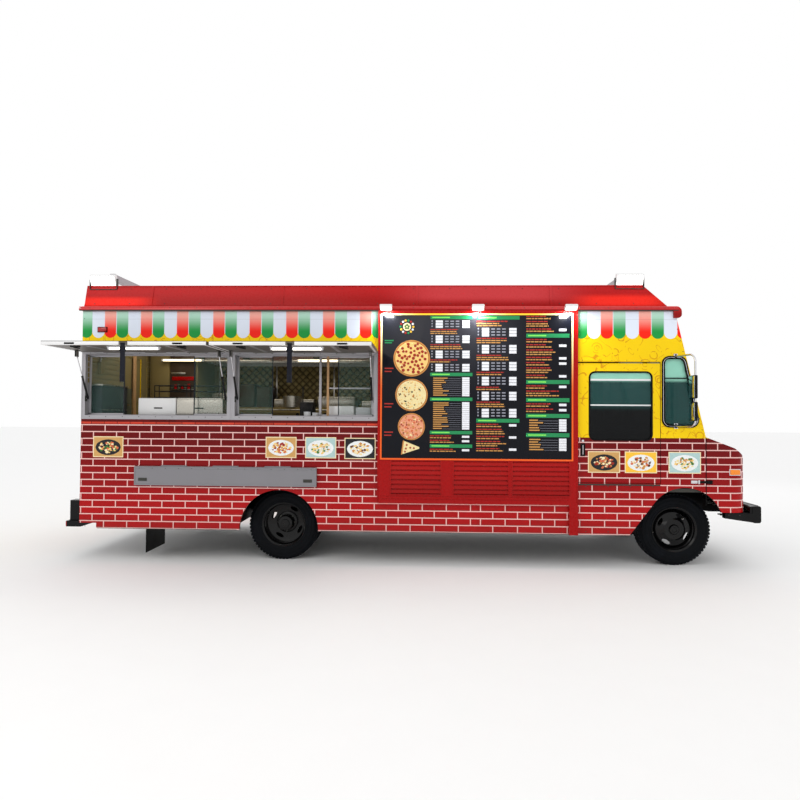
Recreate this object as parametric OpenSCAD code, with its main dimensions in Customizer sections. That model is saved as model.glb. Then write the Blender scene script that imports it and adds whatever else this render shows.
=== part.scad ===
// Food truck on a step van: ladder chassis, kitchen body with two service
// flaps, cab with sliding doors and a tilting nose.
// X runs forward, Y to the driver's side, Z up, all in millimetres.
// Modules are drawn about the vehicle's centre plane; placed() then moves
// them so that the origin lies on the ground under the box's centre.

/* [Overall] */
// Distance between the front and rear axles
wheelbase = 4521; // [4500:1:4540]
// Front axle, ahead of the origin
front_axle_x = 3083; // [3078:1:3088]
// Width of the body over its side walls
body_w = 2400; // [2380:1:2420]
// Rear face of the body, behind the origin
body_back = 3769; // [3760:1:3775]
// Lower edge of the side skirts
skirt_z = 378; // [365:1:395]
// Underside of the roof and its gutter
gutter_z = 2895; // [2880:1:2920]
// Thickness of the walls
wall = 40; // [30:1:45]
// Top of the kitchen and cab floor
floor_z = 900; // [895:1:905]

/* [Wheels] */
// Outer radius of a tyre, which is also the axle height
tyre_r = 407.5; // [400:0.5:410]
// Width of a tyre
tyre_w = 225; // [215:1:228]
// Radius of the rim where the tyre sits
rim_r = 250; // [245:1:255]
// Outer face of the outer tyres from the centre plane
track_face = 985; // [975:1:990]
// Distance between the middles of twin tyres
twin_step = 260; // [255:1:265]

/* [Service side] */
// Lower edge of the service windows' frames
sill_z = 1635; // [1625:1:1645]
// Upper edge of the service windows' frames
lintel_z = 2430; // [2425:1:2435]
// Reach of an open flap from its hinge
flap_reach = 785; // [770:1:790]
// Thickness of a flap
flap_t = 35; // [30:1:38]
// Reach of a strut's pin along the open flap
strut_out = 215; // [210:1:220]
// Drop of a strut's pin under the open flap
strut_drop = 60; // [58:1:64]
// Lower strut pin below the flap's hinge
strut_low = 535; // [530:1:540]
// Length of a pull strap
strap_len = 400; // [350:1:420]

/* [Cab] */
// Rear edge of the sliding door's opening
door_back = 1924; // [1920:1:1928]
// Front edge of the sliding door's opening
door_front = 2849; // [2845:1:2853]
// Lower edge of the sliding door's opening
door_low = 955; // [950:1:960]
// Upper edge of the sliding door's opening
door_high = 2316; // [2310:1:2320]
// Seam between the cab and the tilting nose
cowl_x = 3345; // [3340:1:3350]
// Height of the windscreen's foot
cowl_z = 1478; // [1470:1:1485]
// Front face of the nose
nose_x = 3812; // [3808:1:3816]
// Thickness of the nose's shell
nose_t = 25; // [20:1:28]

/* [Hidden] */
$fn = 48;

half = body_w / 2;
inner = half - wall;
axle_z = tyre_r;
rear_axle_x = front_axle_x - wheelbase;
roof_t = 45;
floor_t = 40;
joist_t = 100;
kitchen_x = -325;
pocket_x = 1050;
gap = 6;
fit = 0.05;

// Flap hinge line, outboard of the wall and level with the frame's top bar
hinge_out = half + 15;
hinge_z = lintel_z - 22;
// A strut's lower pin, inboard of the flap's hinge
strut_in = 35;
strut_pin = [hinge_out - strut_in, hinge_z - strut_low];
strut_top = [hinge_out + strut_out, hinge_z - strut_drop];
strut_open = norm(strut_top - strut_pin);
strut_tilt = atan2(strut_top[0] - strut_pin[0], strut_top[1] - strut_pin[1]);
strut_r = 11;
barrel_len = 285;
rod_len = 292;
strap_out = hinge_out + flap_reach + 7;
strap_z = hinge_z + 17;
loop_r = 7;

// Width over the open flaps on one side and the mirror on the other
mirror_out = 1500;
mirror_r = 80;
centre_y = (strap_out + loop_r - mirror_out - mirror_r) / 2;

// [rear end, front end] of the two service windows
WINDOWS = [[-body_back, -2015], [-2015, kitchen_x]];
// [rear end, front end] of the two flaps
FLAPS = [[-3760, -2028], [-2002, -330]];
jamb = 45;
pane_y = 1115;

// Wheel arches: [centre x, centre z, radius]
front_arch = [front_axle_x + 34, 494, 418.5];
rear_arch = [rear_axle_x - 10, 385, 454];
arch_slope = 53;

kingpin_y = 745;
arm_len = 170;
arm_z = 300;
steer_eye_r = 22;
rail_y = 430;
rail_w = 76;
rail_low = 560;
rail_high = 760;

hood_pivot = [3830, 735];
hood_back = cowl_x + gap;

// ---- shared shapes ----

module placed() {
    translate([0, centre_y, 0])
        children();
}

// A block between two corners
module block(low, high) {
    translate(low)
        cube(high - low);
}

// An outline in X and Z, filled between two planes of constant Y
module across(y0, y1) {
    translate([0, y1, 0])
        rotate([90, 0, 0])
            linear_extrude(y1 - y0)
                children();
}

// side -1 is the service side, which the children are drawn for
module on_side(side) {
    mirror([0, side > 0 ? 1 : 0, 0])
        children();
}

module both_sides() {
    for (side = [-1, 1])
        on_side(side)
            children();
}

// A rod along X, Y or Z
module rod_x(x0, x1, y, z, r) {
    translate([x0, y, z])
        rotate([0, 90, 0])
            cylinder(h = x1 - x0, r = r);
}

module rod_y(y0, y1, x, z, r) {
    translate([x, y0, z])
        rotate([-90, 0, 0])
            cylinder(h = y1 - y0, r = r);
}

module rod_z(z0, z1, x, y, r) {
    translate([x, y, z0])
        cylinder(h = z1 - z0, r = r);
}

function arc(centre, r, a0, a1, n = 12) =
    [for (i = [0:n]) let (a = a0 + (a1 - a0) * i / n) centre + r * [cos(a), sin(a)]];

function unit(v) = v / norm(v);

// The points of an outline with each corner rounded to the radius r
function rounded(points, r, n = 6) = [
    for (i = [0:len(points) - 1])
        let (
            p = points[i],
            a = unit(points[(i + len(points) - 1) % len(points)] - p),
            b = unit(points[(i + 1) % len(points)] - p),
            half_angle = acos(a * b) / 2,
            centre = p + unit(a + b) * r / sin(half_angle),
            from = p + a * r / tan(half_angle) - centre,
            to = p + b * r / tan(half_angle) - centre,
            a0 = atan2(from[1], from[0]),
            turn = atan2(to[1], to[0]) - a0,
            sweep = turn > 180 ? turn - 360 : turn < -180 ? turn + 360 : turn)
        each arc(centre, r, a0, a0 + sweep, n)];

// Hinge along +X: the fixed half has the pin, the moving half the tubes
hinge_r = 6;
pin_r = 3;
hinge_parts = 7;

function hinge_seg(length, i) =
    [length * i / hinge_parts + 1, length * (i + 1) / hinge_parts - 1];

module hinge_fixed(length, web_low, web_high) {
    rod_x(0, length, 0, 0, pin_r);
    for (i = [0:2:hinge_parts - 1]) {
        seg = hinge_seg(length, i);
        rod_x(seg[0], seg[1], 0, 0, hinge_r);
        block([seg[0], web_low[0], web_low[1]], [seg[1], web_high[0], web_high[1]]);
    }
}

module hinge_moving(length, web_low, web_high) {
    for (i = [1:2:hinge_parts - 1]) {
        seg = hinge_seg(length, i);
        difference() {
            union() {
                rod_x(seg[0], seg[1], 0, 0, hinge_r);
                block([seg[0], web_low[0], web_low[1]], [seg[1], web_high[0], web_high[1]]);
            }
            rod_x(seg[0] - 1, seg[1] + 1, 0, 0, pin_r + fit);
        }
    }
}

// ---- chassis ----

module frame_rails() {
    outline = [[-3812, rail_low], [3600, rail_low], [3700, 545], [3860, 545],
        [3860, 625], [3700, 625], [3600, rail_high], [-3812, rail_high]];
    color("dimgray") both_sides()
        difference() {
            across(-rail_y - rail_w / 2, -rail_y + rail_w / 2) polygon(outline);
            block([-3813, -rail_y - rail_w, rail_low + 12], [3560, -rail_y + rail_w / 2 - 12, rail_high - 12]);
        }
}

module cross_members() {
    reach = rail_y - rail_w / 2;
    color("dimgray")
        for (x = [-3700, -2500, -700, 600, 1900])
            block([x, -reach, 640], [x + 80, reach, 740]);
    color("dimgray")
        block([3655, -reach, 560], [3715, reach, 620]);
}

module engine_block() {
    color("gray") {
        block([2950, -290, 520], [3640, 290, 1180]);
        block([2350, -150, 520], [2950, 150, 740]);
    }
}

module drive_shaft() {
    front = [2348, 560];
    back = [rear_axle_x + 180, 430];
    run = front - back;
    color("gray")
        translate([back[0], 0, back[1]])
            rotate([0, 90 - atan2(run[1], run[0]), 0])
                cylinder(h = norm(run), r = 42);
}

module exhaust() {
    pipe_y = -250;
    pipe_z = 480;
    turn_x = -640;
    color("darkgray") {
        rod_x(turn_x, 2970, pipe_y, pipe_z, 32);
        rod_x(0, 850, pipe_y, pipe_z, 105);
        translate([turn_x, pipe_y, pipe_z]) sphere(r = 32);
        rod_y(-1120, pipe_y, turn_x, pipe_z, 32);
        translate([2970, pipe_y, pipe_z]) sphere(r = 32);
        rod_z(pipe_z, 520, 2970, pipe_y, 32);
    }
}

module fuel_tank() {
    color("silver") {
        across(520, 1120) polygon(rounded([[300, 430], [1400, 430], [1400, 750], [300, 750]], 60));
        for (x = [500, 1150])
            block([x, rail_y + rail_w / 2, 640], [x + 60, 520, 700]);
    }
}

module front_axle_beam() {
    color("dimgray") {
        difference() {
            union() {
                block([front_axle_x - 45, -700, 330], [front_axle_x + 45, 700, 410]);
                for (side = [-1, 1]) {
                    rod_z(350, 460, front_axle_x, side * kingpin_y, 45);
                    block([front_axle_x - 40, min(side * 640, side * kingpin_y), 350],
                        [front_axle_x + 40, max(side * 640, side * kingpin_y), 440]);
                }
            }
            for (side = [-1, 1])
                rod_z(340, 470, front_axle_x, side * kingpin_y, 20 + fit);
        }
    }
}

module rear_axle() {
    color("dimgray") {
        rod_y(-485, 485, rear_axle_x, axle_z, 60);
        rod_y(-860, 860, rear_axle_x, axle_z, 40);
        translate([rear_axle_x, 0, axle_z]) sphere(r = 180);
    }
}

// One leaf: an arc strip, high at its ends
module leaf(half_len, rise, z, t) {
    r = (half_len * half_len + rise * rise) / (2 * rise);
    spread = asin(half_len / r);
    polygon(concat(
        arc([0, z + r], r, -90 - spread, -90 + spread, 16),
        arc([0, z + r], r - t, -90 + spread, -90 - spread, 16)));
}

module spring(x, seat_z, half_len, rise) {
    translate([x, 0, 0])
        across(-rail_y - 35, -rail_y + 35) {
            for (i = [0:3])
                leaf(half_len * (0.55 + 0.15 * i), rise * pow(0.55 + 0.15 * i, 2), seat_z + 12 * i, 12.5);
        }
    for (end = [-1, 1])
        block([x + end * half_len - 22, -rail_y - 30, seat_z + 36 + rise - 14],
            [x + end * half_len + 22, -rail_y + 30, rail_low]);
}

module leaf_springs() {
    color("dimgray") both_sides() {
        spring(front_axle_x, 410, 490, 70);
        spring(rear_axle_x, 468, 680, 20);
    }
}

// Steering knuckle on the service side
module knuckle() {
    difference() {
        union() {
            rod_z(300, 515, front_axle_x, -kingpin_y, 20);
            for (z = [[312, 345], [465, 498]]) {
                rod_z(z[0], z[1], front_axle_x, -kingpin_y, 45);
                block([front_axle_x - 45, -kingpin_y - 72, z[0]], [front_axle_x + 45, -kingpin_y, z[1]]);
            }
            block([front_axle_x - 45, -kingpin_y - 72, 312], [front_axle_x + 45, -kingpin_y - 52, 498]);
            rod_y(-950, -kingpin_y - 60, front_axle_x, axle_z, 28);
            block([front_axle_x - arm_len, -kingpin_y - 15, arm_z], [front_axle_x, -kingpin_y + 15, arm_z + 26]);
            rod_z(arm_z, 372, front_axle_x - arm_len, -kingpin_y, 10);
            rod_z(arm_z, arm_z + 26, front_axle_x - arm_len, -kingpin_y, 20);
        }
    }
}

module knuckle_right() {
    color("dimgray") knuckle();
}

module knuckle_left() {
    color("dimgray") on_side(1) knuckle();
}

module tie_rod() {
    x = front_axle_x - arm_len;
    z = 355;
    // [side, bore radius]: the left eye is the open end of the linkage
    ENDS = [[-1, 10 + fit], [1, 13]];
    color("dimgray")
        difference() {
            union() {
                rod_y(-kingpin_y, kingpin_y, x, z, 13);
                for (e = ENDS)
                    rod_z(z - 14, z + 14, x, e[0] * kingpin_y, steer_eye_r);
            }
            for (e = ENDS)
                rod_z(z - 20, z + 20, x, e[0] * kingpin_y, e[1]);
        }
}

// ---- wheels, drawn about the Y axis, outer face towards -Y ----

module tyre(outer_face) {
    y0 = -outer_face;
    shoulder = 28;
    side = [[rim_r, y0 + 14], [rim_r + 40, y0 + 2], [rim_r + 80, y0],
        [tyre_r - shoulder, y0 + 6], [tyre_r - 6, y0 + 20], [tyre_r, y0 + 36]];
    mirrored = [for (i = [len(side) - 1:-1:0]) [side[i][0], 2 * y0 + tyre_w - side[i][1]]];
    rotate([-90, 0, 0])
        rotate_extrude($fn = 96)
            polygon(concat(side, mirrored));
}

module ring(r0, r1, y0, y1) {
    rotate([-90, 0, 0])
        translate([0, 0, y0])
            difference() {
                cylinder(h = y1 - y0, r = r1, $fn = 96);
                translate([0, 0, -1])
                    cylinder(h = y1 - y0 + 2, r = r0, $fn = 96);
            }
}

module rim(front) {
    barrel_in = front ? -track_face + tyre_w - 15 : -track_face + tyre_w + twin_step - 15;
    spindle = (front ? 28 : 40) + fit;
    seat = rim_r - 0.5;
    // [inner radius, outer radius, outboard y, inboard y]
    RINGS = front
        ? [[235, seat, -970, barrel_in], [175, 238, -925, -905], [spindle, 180, -935, -915], [spindle, 85, -972, -860]]
        : [[235, seat, -970, barrel_in], [spindle, 238, -765, -740], [spindle, 100, -850, -700]];
    difference() {
        union()
            for (r = RINGS)
                ring(r[0], r[1], r[2], r[3]);
        for (a = [45:90:315])
            rotate([0, a, 0])
                rod_y(-1000, -680, 205, 0, 24);
    }
}

module at_front() {
    translate([front_axle_x, 0, axle_z])
        children();
}

module at_rear() {
    translate([rear_axle_x, 0, axle_z])
        children();
}

module twin_tyres() {
    tyre(track_face);
    tyre(track_face - twin_step);
}

module tyre_front_right() {
    color("#161616") at_front() tyre(track_face);
}

module tyre_front_left() {
    color("#161616") on_side(1) at_front() tyre(track_face);
}

module tyre_rear_right() {
    color("#161616") at_rear() twin_tyres();
}

module tyre_rear_left() {
    color("#161616") on_side(1) at_rear() twin_tyres();
}

module rim_front_right() {
    color("#202020") at_front() rim(true);
}

module rim_front_left() {
    color("#202020") on_side(1) at_front() rim(true);
}

module rim_rear_right() {
    color("#202020") at_rear() rim(false);
}

module rim_rear_left() {
    color("#202020") on_side(1) at_rear() rim(false);
}

// ---- body shell ----

module floor() {
    top = floor_z;
    low = floor_z - floor_t;
    color("silver") {
        difference() {
            block([-body_back + wall, -inner, low], [cowl_x - wall, inner, top]);
            block([2930, -345, low - 1], [cowl_x, 345, top + 1]);
        }
        for (x = [-3600, -2900, -2200, -600, 200, 1000, 1800, 2400])
            block([x, -inner, low - joist_t], [x + 60, inner, low]);
    }
}

// The wall's lower part between two stations, cut by the rear arch
module rear_wall_outline(top) {
    difference() {
        polygon([[-body_back, skirt_z + 60], [-3570, skirt_z + 60], [-3570, skirt_z],
            [kitchen_x, skirt_z], [kitchen_x, top], [-body_back, top]]);
        translate([rear_arch[0], rear_arch[1]])
            circle(r = rear_arch[2], $fn = 96);
    }
}

shelf_x = [-3115, -1012];
shelf_hinge = [half + 12, 1104];

module service_side_panel() {
    color("firebrick") {
        across(-half, -inner) rear_wall_outline(sill_z);
        translate([shelf_x[0], -shelf_hinge[0], shelf_hinge[1]])
            hinge_fixed(shelf_x[1] - shelf_x[0], [0, -3], [shelf_hinge[0] - half, 3]);
    }
}

module driver_side_panel() {
    color("firebrick") across(inner, half) rear_wall_outline(lintel_z);
}

pillar_top = [3030, 2810];
pillar_slope = (cowl_x - pillar_top[0]) / (pillar_top[1] - cowl_z);

function pillar_x(z) = pillar_top[0] + (pillar_top[1] - z) * pillar_slope;

module upper_panels() {
    back = pillar_top[0] - 40;
    color("gold") both_sides()
        across(-half, -inner)
            polygon([[-body_back, lintel_z], [kitchen_x, lintel_z], [kitchen_x, door_high],
                [door_front, door_high], [door_front, lintel_z], [pillar_x(lintel_z), lintel_z],
                pillar_top, [back, pillar_top[1]], [back, gutter_z], [-body_back, gutter_z]]);
}

// The wall behind the louvred covers, and the lining of the door's pocket
module middle_panels() {
    color("firebrick") both_sides() {
        block([kitchen_x, -half, skirt_z], [pocket_x, -inner, door_high]);
        block([pocket_x + 5, -inner, door_low], [door_back, -inner + wall, door_high]);
    }
}

quarter_window = [[2883, 1605], [3266, 1605], [3102, 2362], [2883, 2362]];

module quarter_panels() {
    color("gold") both_sides()
        across(-half, -inner)
            difference() {
                polygon([[door_front, door_low], [cowl_x, door_low], [cowl_x, cowl_z],
                    [pillar_x(lintel_z), lintel_z], [door_front, lintel_z]]);
                polygon(rounded(quarter_window, 70));
            }
}

module sill_panels() {
    centre = [front_arch[0], front_arch[1]];
    r = front_arch[2];
    tangent = centre + r * [-sin(arch_slope), cos(arch_slope)];
    foot = [tangent[0] - (tangent[1] - skirt_z) / tan(arch_slope), skirt_z];
    last = acos((cowl_x - centre[0]) / r);
    color("firebrick") both_sides()
        across(-half, -inner)
            polygon(concat([[pocket_x, skirt_z], foot],
                arc(centre, r, 90 + arch_slope, last, 16),
                [[cowl_x, door_low], [pocket_x, door_low]]));
}

module roof() {
    gutter_w = 28;
    nose = 3076;
    cap_back = pillar_top[0] - 40;
    top = gutter_z + roof_t;
    color("red") {
        block([-body_back, -half - gutter_w, gutter_z], [cap_back, half + gutter_w, top]);
        across(-half - gutter_w, half + gutter_w)
            polygon(concat([[cap_back, top], [cap_back, pillar_top[1]]],
                arc([nose - 40, pillar_top[1] + 40], 40, -90, 0),
                arc([nose - 60, top - 60], 60, 0, 90)));
    }
    // Low roof vent
    color("lightgray") block([1180, -300, top], [1560, 260, 3215]);
}

// Parapet round the roof, leaning in, with a sloped fairing in front
module roof_screen() {
    low = gutter_z + roof_t;
    high = 3190;
    t = 30;
    lean = 60;
    front_low = 2926;
    front_high = 2672;
    out = half + 10;
    lower = [[-3750, -out], [front_low, -out], [front_low, out], [-3750, out]];
    color("firebrick")
        difference() {
            intersection() {
                // Leaning sides
                rotate([0, 0, 90])
                    across(-front_low, 3750)
                        polygon([[-out, low], [out, low], [out - lean, high], [-out + lean, high]]);
                // Sloped front
                across(-out - 1, out + 1)
                    polygon([[-3750, low], [front_low, low], [front_high, high], [-3750, high]]);
            }
            intersection() {
                rotate([0, 0, 90])
                    across(-front_low, 3760)
                        polygon([[-out + t, low - 1], [out - t, low - 1], [out - lean - t, high + 1], [-out + lean + t, high + 1]]);
                across(-out, out)
                    polygon([[-3760, low - 1], [front_low - 1.4 * t, low - 1], [front_high - 1.4 * t, high + 1], [-3760, high + 1]]);
            }
        }
}

module roof_end_frames() {
    low = gutter_z + roof_t;
    // [x, top z]
    ENDS = [[-3740, 3450], [2560, 3410]];
    color("gray")
        for (e = ENDS) {
            for (side = [-1, 1])
                block([e[0], side * 620 - 30, low], [e[0] + 60, side * 620 + 30, e[1]]);
            block([e[0] + 10, -620, e[1] - 90], [e[0] + 50, 620, e[1]]);
            block([e[0] + 10, -620, low + 20], [e[0] + 50, 620, low + 80]);
        }
}

rear_door_half = 400;
rear_door_low = 905;
rear_door_high = 2680;
rear_hinge = [-body_back - 6, rear_door_half];

module rear_wall() {
    color("gold") {
        difference() {
            block([-body_back, -inner, rail_high + 5], [-body_back + wall, inner, gutter_z]);
            block([-body_back - 1, -rear_door_half, rear_door_low],
                [-body_back + wall + 1, rear_door_half, rear_door_high]);
        }
        translate([rear_hinge[0], rear_hinge[1], rear_door_low + 20])
            rotate([0, -90, 0])
                hinge_fixed(rear_door_high - rear_door_low - 40, [0, -hinge_r], [hinge_r, 0]);
    }
}

module rear_door() {
    color("gold") {
        difference() {
            block([-body_back, -rear_door_half + gap, rear_door_low + gap],
                [-body_back + wall, rear_door_half - gap, rear_door_high - gap]);
            block([-body_back - 1, -230, 1900], [-body_back + wall + 1, 230, 2450]);
        }
        translate([rear_hinge[0], rear_hinge[1], rear_door_low + 20])
            rotate([0, -90, 0])
                hinge_moving(rear_door_high - rear_door_low - 40, [-hinge_r - 2, -hinge_r], [0, 0]);
        block([-body_back + 16, -231, 1899], [-body_back + 24, 231, 2451]);
    }
}

// Windscreen, cowl and bulkhead in one pressing
module cab_front() {
    color("gold")
        difference() {
            across(-inner, inner)
                polygon([[cowl_x - wall, floor_z - floor_t], [cowl_x, floor_z - floor_t], [cowl_x, cowl_z],
                    pillar_top, [pillar_top[0] - wall, pillar_top[1]], [cowl_x - wall, cowl_z]]);
            for (side = [-1, 1])
                block([2800, side > 0 ? 45 : -1095, 1600], [3500, side > 0 ? 1095 : -45, 2690]);
            block([3200, -345, floor_z - floor_t - 1], [3400, 345, 1250]);
        }
}

sash_w = 420;
glass_t = 6;

module window_glass() {
    mid = 20;
    color("lightgreen", 0.4) {
        // Windscreen halves
        for (side = [-1, 1])
            across(side > 0 ? 46 : -1094, side > 0 ? 1094 : -46)
                polygon([[pillar_x(1601) - mid, 1601], [pillar_x(1601) - mid + glass_t, 1601],
                    [pillar_x(2689) - mid + glass_t, 2689], [pillar_x(2689) - mid, 2689]]);
        both_sides()
            across(-half + mid, -half + mid + glass_t)
                polygon(rounded(quarter_window, 70));
        // Sliding sashes, stood open at both ends of each service window
        for (w = WINDOWS)
            for (x = [w[0] + jamb, w[1] - jamb - sash_w])
                block([x, -pane_y, sill_z + jamb], [x + sash_w, -pane_y + glass_t, lintel_z - jamb]);
    }
}

// Frames of the service windows, with hinge leaves and strut pins
module service_window_frames() {
    face = half + 6;
    color("silver")
        for (i = [0:1]) {
            w = WINDOWS[i];
            f = FLAPS[i];
            x0 = w[0] + (i == 0 ? 0 : 0.5);
            x1 = w[1] - 0.5;
            difference() {
                block([x0, -face, sill_z], [x1, -1105, lintel_z]);
                block([w[0] + jamb, -face - 1, sill_z + jamb], [w[1] - jamb, -1000, lintel_z - jamb]);
                // Room for the rear wall
                block([-body_back - 1, -inner, sill_z - 1], [-body_back + wall, -1000, lintel_z + 1]);
            }
            translate([f[0] + 5, -hinge_out, hinge_z])
                hinge_fixed(f[1] - f[0] - 10, [0, -3], [hinge_out - half - 2, 5]);
            for (side = [-1, 1])
                strut_stub(w, side);
        }
}

// Middle of a strut along X; side -1 is at the window's rear jamb
function strut_x(w, side) = side < 0 ? w[0] + jamb + 22 : w[1] - jamb - 22;

module strut_stub(w, side) {
    x = strut_x(w, side);
    rod_x(side < 0 ? x - 24 : x - 7, side < 0 ? x + 7 : x + 24, -strut_pin[0], strut_pin[1], 5);
}

// ---- flaps ----

module flap(i) {
    f = FLAPS[i];
    w = WINDOWS[i];
    mid = (f[0] + f[1]) / 2;
    edge = hinge_out + flap_reach;
    color("gainsboro") {
        block([f[0], -edge, hinge_z], [f[1], -hinge_out - hinge_r - 1, hinge_z + flap_t]);
        translate([f[0] + 5, -hinge_out, hinge_z])
            hinge_moving(f[1] - f[0] - 10, [-hinge_r - 2, 0], [0, hinge_r]);
        for (side = [-1, 1]) {
            x = strut_x(w, side) + (side < 0 ? 5.5 : -11.5);
            block([x, -strut_top[0] - 20, strut_top[1] - 14], [x + 6, -strut_top[0] + 20, hinge_z]);
            block([mid + side * 31 - 3, -strap_out - 5, strap_z - 6], [mid + side * 31 + 3, -edge, strap_z + 6]);
        }
        rod_x(mid - 31, mid + 31, -strap_out, strap_z, 4);
    }
}

module flap_rear() {
    flap(0);
}

module flap_front() {
    flap(1);
}

// Draws its children along a strut of an open flap, from the lower pin up +Z
module along_strut(i, side) {
    translate([strut_x(WINDOWS[i], side), -strut_pin[0], strut_pin[1]])
        rotate([strut_tilt, 0, 0])
            children();
}

module strut_barrels(i) {
    color("#111111")
        for (side = [-1, 1])
            along_strut(i, side)
                difference() {
                    union() {
                        rod_x(-6, 6, 0, 0, strut_r);
                        cylinder(h = barrel_len, r = strut_r);
                    }
                    rod_x(-12, 12, 0, 0, 5 + fit);
                    translate([0, 0, 22])
                        cylinder(h = barrel_len, r = 5 + 2 * fit);
                }
}

module strut_rods(i) {
    color("silver")
        for (side = [-1, 1])
            along_strut(i, side) {
                translate([0, 0, strut_open - rod_len])
                    cylinder(h = rod_len, r = 5);
                rod_x(-5, 5, 0, strut_open, 10);
            }
}

module strut_barrels_rear() {
    strut_barrels(0);
}

module strut_barrels_front() {
    strut_barrels(1);
}

module strut_rods_rear() {
    strut_rods(0);
}

module strut_rods_front() {
    strut_rods(1);
}

module pull_strap(i) {
    mid = (FLAPS[i][0] + FLAPS[i][1]) / 2;
    color("#111111")
        difference() {
            union() {
                rod_x(mid - 25, mid + 25, -strap_out, strap_z, loop_r);
                block([mid - 25, -strap_out - 2, strap_z - strap_len], [mid + 25, -strap_out + 2, strap_z]);
            }
            rod_x(mid - 30, mid + 30, -strap_out, strap_z, 4 + fit);
        }
}

module pull_strap_rear() {
    pull_strap(0);
}

module pull_strap_front() {
    pull_strap(1);
}

module shelf() {
    drop = shelf_hinge[1] - 881;
    color("lightgray")
        translate([shelf_x[0], -shelf_hinge[0], shelf_hinge[1]]) {
            block([0, -28, -drop], [shelf_x[1] - shelf_x[0], 0, -hinge_r - 1]);
            hinge_moving(shelf_x[1] - shelf_x[0], [-hinge_r, -hinge_r - 2], [0, 0]);
        }
}

// ---- covers, doors ----

cover_face = half + 45;
cover_x = -321;
cover_low = 710;
// [rear end, front end] of the louvre groups
LOUVRES = [[-165, 392], [541, 1149], [1198, 1825]];

module louvred_covers() {
    color("red") both_sides() {
        difference() {
            union() {
                block([cover_x, -cover_face, cover_low], [pocket_x, -half, gutter_z]);
                block([pocket_x, -cover_face, cover_low], [door_back, -half - gap, gutter_z]);
                block([pocket_x, -cover_face, door_high + gap], [door_back, -half, gutter_z]);
                block([1828, -cover_face, skirt_z], [door_back, -half, door_low - gap]);
            }
            for (l = LOUVRES)
                block([l[0], -cover_face - 1, 815], [l[1], -cover_face + 22, 1190]);
        }
    }
}

door_window = [[2064, 1442], [2750, 1442], [2750, 2200], [2064, 2200]];
door_t = 30;

module side_door() {
    color("gold")
        across(-half, -half + door_t)
            difference() {
                polygon([[door_back + gap, door_low + gap], [door_front - gap, door_low + gap],
                    [door_front - gap, door_high - 15], [door_back + gap, door_high - 15]]);
                polygon(rounded(door_window, 60));
            }
}

module door_glass() {
    color("lightgreen", 0.4)
        across(-half + 12, -half + 12 + glass_t)
            polygon(rounded(door_window, 60));
}

module side_door_right() {
    side_door();
}

module side_door_left() {
    on_side(1) side_door();
}

module door_glass_right() {
    door_glass();
}

module door_glass_left() {
    on_side(1) door_glass();
}

// ---- nose ----

function nose_points(inset) = [
    [hood_back, cowl_z - 2 - inset], [3660 - inset / 2, 1358 - inset], [3768 - inset, 1281 - inset],
    [3810 - inset, 1203 - inset], [nose_x - inset, 690]];

module nose_outline() {
    centre = [front_arch[0], front_arch[1]];
    r = front_arch[2];
    first = acos((hood_back - centre[0]) / r);
    low = 642;
    last = asin((low - centre[1]) / r);
    polygon(concat(arc(centre, r, last, first, 12), nose_points(0),
        arc([nose_x - 40, low + 40], 40, 0, -90, 6)));
}

// Plan of the nose, with round front corners
module nose_plan(inset) {
    r = 170;
    translate([0, 0, 600])
        linear_extrude(900)
            polygon(concat(
                [[3200, half - inset]],
                arc([nose_x - r, half - r], r - inset, 90, 0),
                arc([nose_x - r, -half + r], r - inset, 0, -90),
                [[3200, -half + inset]]));
}

module hood() {
    color("firebrick") {
        difference() {
            intersection() {
                across(-half, half) nose_outline();
                nose_plan(0);
            }
            intersection() {
                across(-half, half)
                    polygon(concat([[3200, 600], [3200, cowl_z - nose_t + 60]], nose_points(nose_t),
                        [[nose_x - nose_t, 600]]));
                nose_plan(nose_t);
            }
            block([nose_x - 60, -560, 770], [nose_x + 10, 560, 1130]);
            for (side = [-1, 1])
                rod_x(nose_x - 60, nose_x + 10, side * 790, 950, 95);
        }
        for (y = [-490, 470])
            difference() {
                union() {
                    block([nose_x - 10, y, hood_pivot[1] - 16], [hood_pivot[0], y + 20, hood_pivot[1] + 16]);
                    rod_y(y, y + 20, hood_pivot[0], hood_pivot[1], 16);
                }
                rod_y(y - 1, y + 21, hood_pivot[0], hood_pivot[1], 8 + fit);
            }
    }
}

// Grille bars in their frame, and the two headlamps
module grille() {
    back = nose_x - 22;
    color("silver") {
        difference() {
            block([back, -560, 770], [nose_x - 2, 560, 1130]);
            block([back - 1, -525, 800], [nose_x, 525, 1100]);
        }
        for (i = [0:5])
            block([back + 2, -525, 825 + 46 * i], [nose_x - 5, 525, 843 + 46 * i]);
        for (side = [-1, 1])
            rod_x(nose_x - 30, nose_x - 4, side * 790, 950, 95);
    }
}

module front_bumper() {
    low = 527;
    high = 716;
    back = 3860;
    front = 3954;
    color("#111111") {
        across(-1180, 1180)
            polygon(rounded([[back, low], [front, low], [front, high], [back, high]], 24));
        for (side = [-1, 1]) {
            on_side(side)
                across(-1180, -1110)
                    polygon([[3560, 575], [back + 30, low + 3], [back + 30, 632], [3560, 632]]);
            // Brackets that carry the nose's hinge pins
            on_side(side) {
                block([3846, -512, 640], [3875, -498, hood_pivot[1] + 12]);
                block([hood_pivot[0], -512, hood_pivot[1] - 12], [3875, -498, hood_pivot[1] + 12]);
                rod_y(-512, -498, hood_pivot[0], hood_pivot[1], 12);
                rod_y(-512, -468, hood_pivot[0], hood_pivot[1], 8);
            }
        }
    }
}

tow_hole = [-3885, 16];

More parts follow.
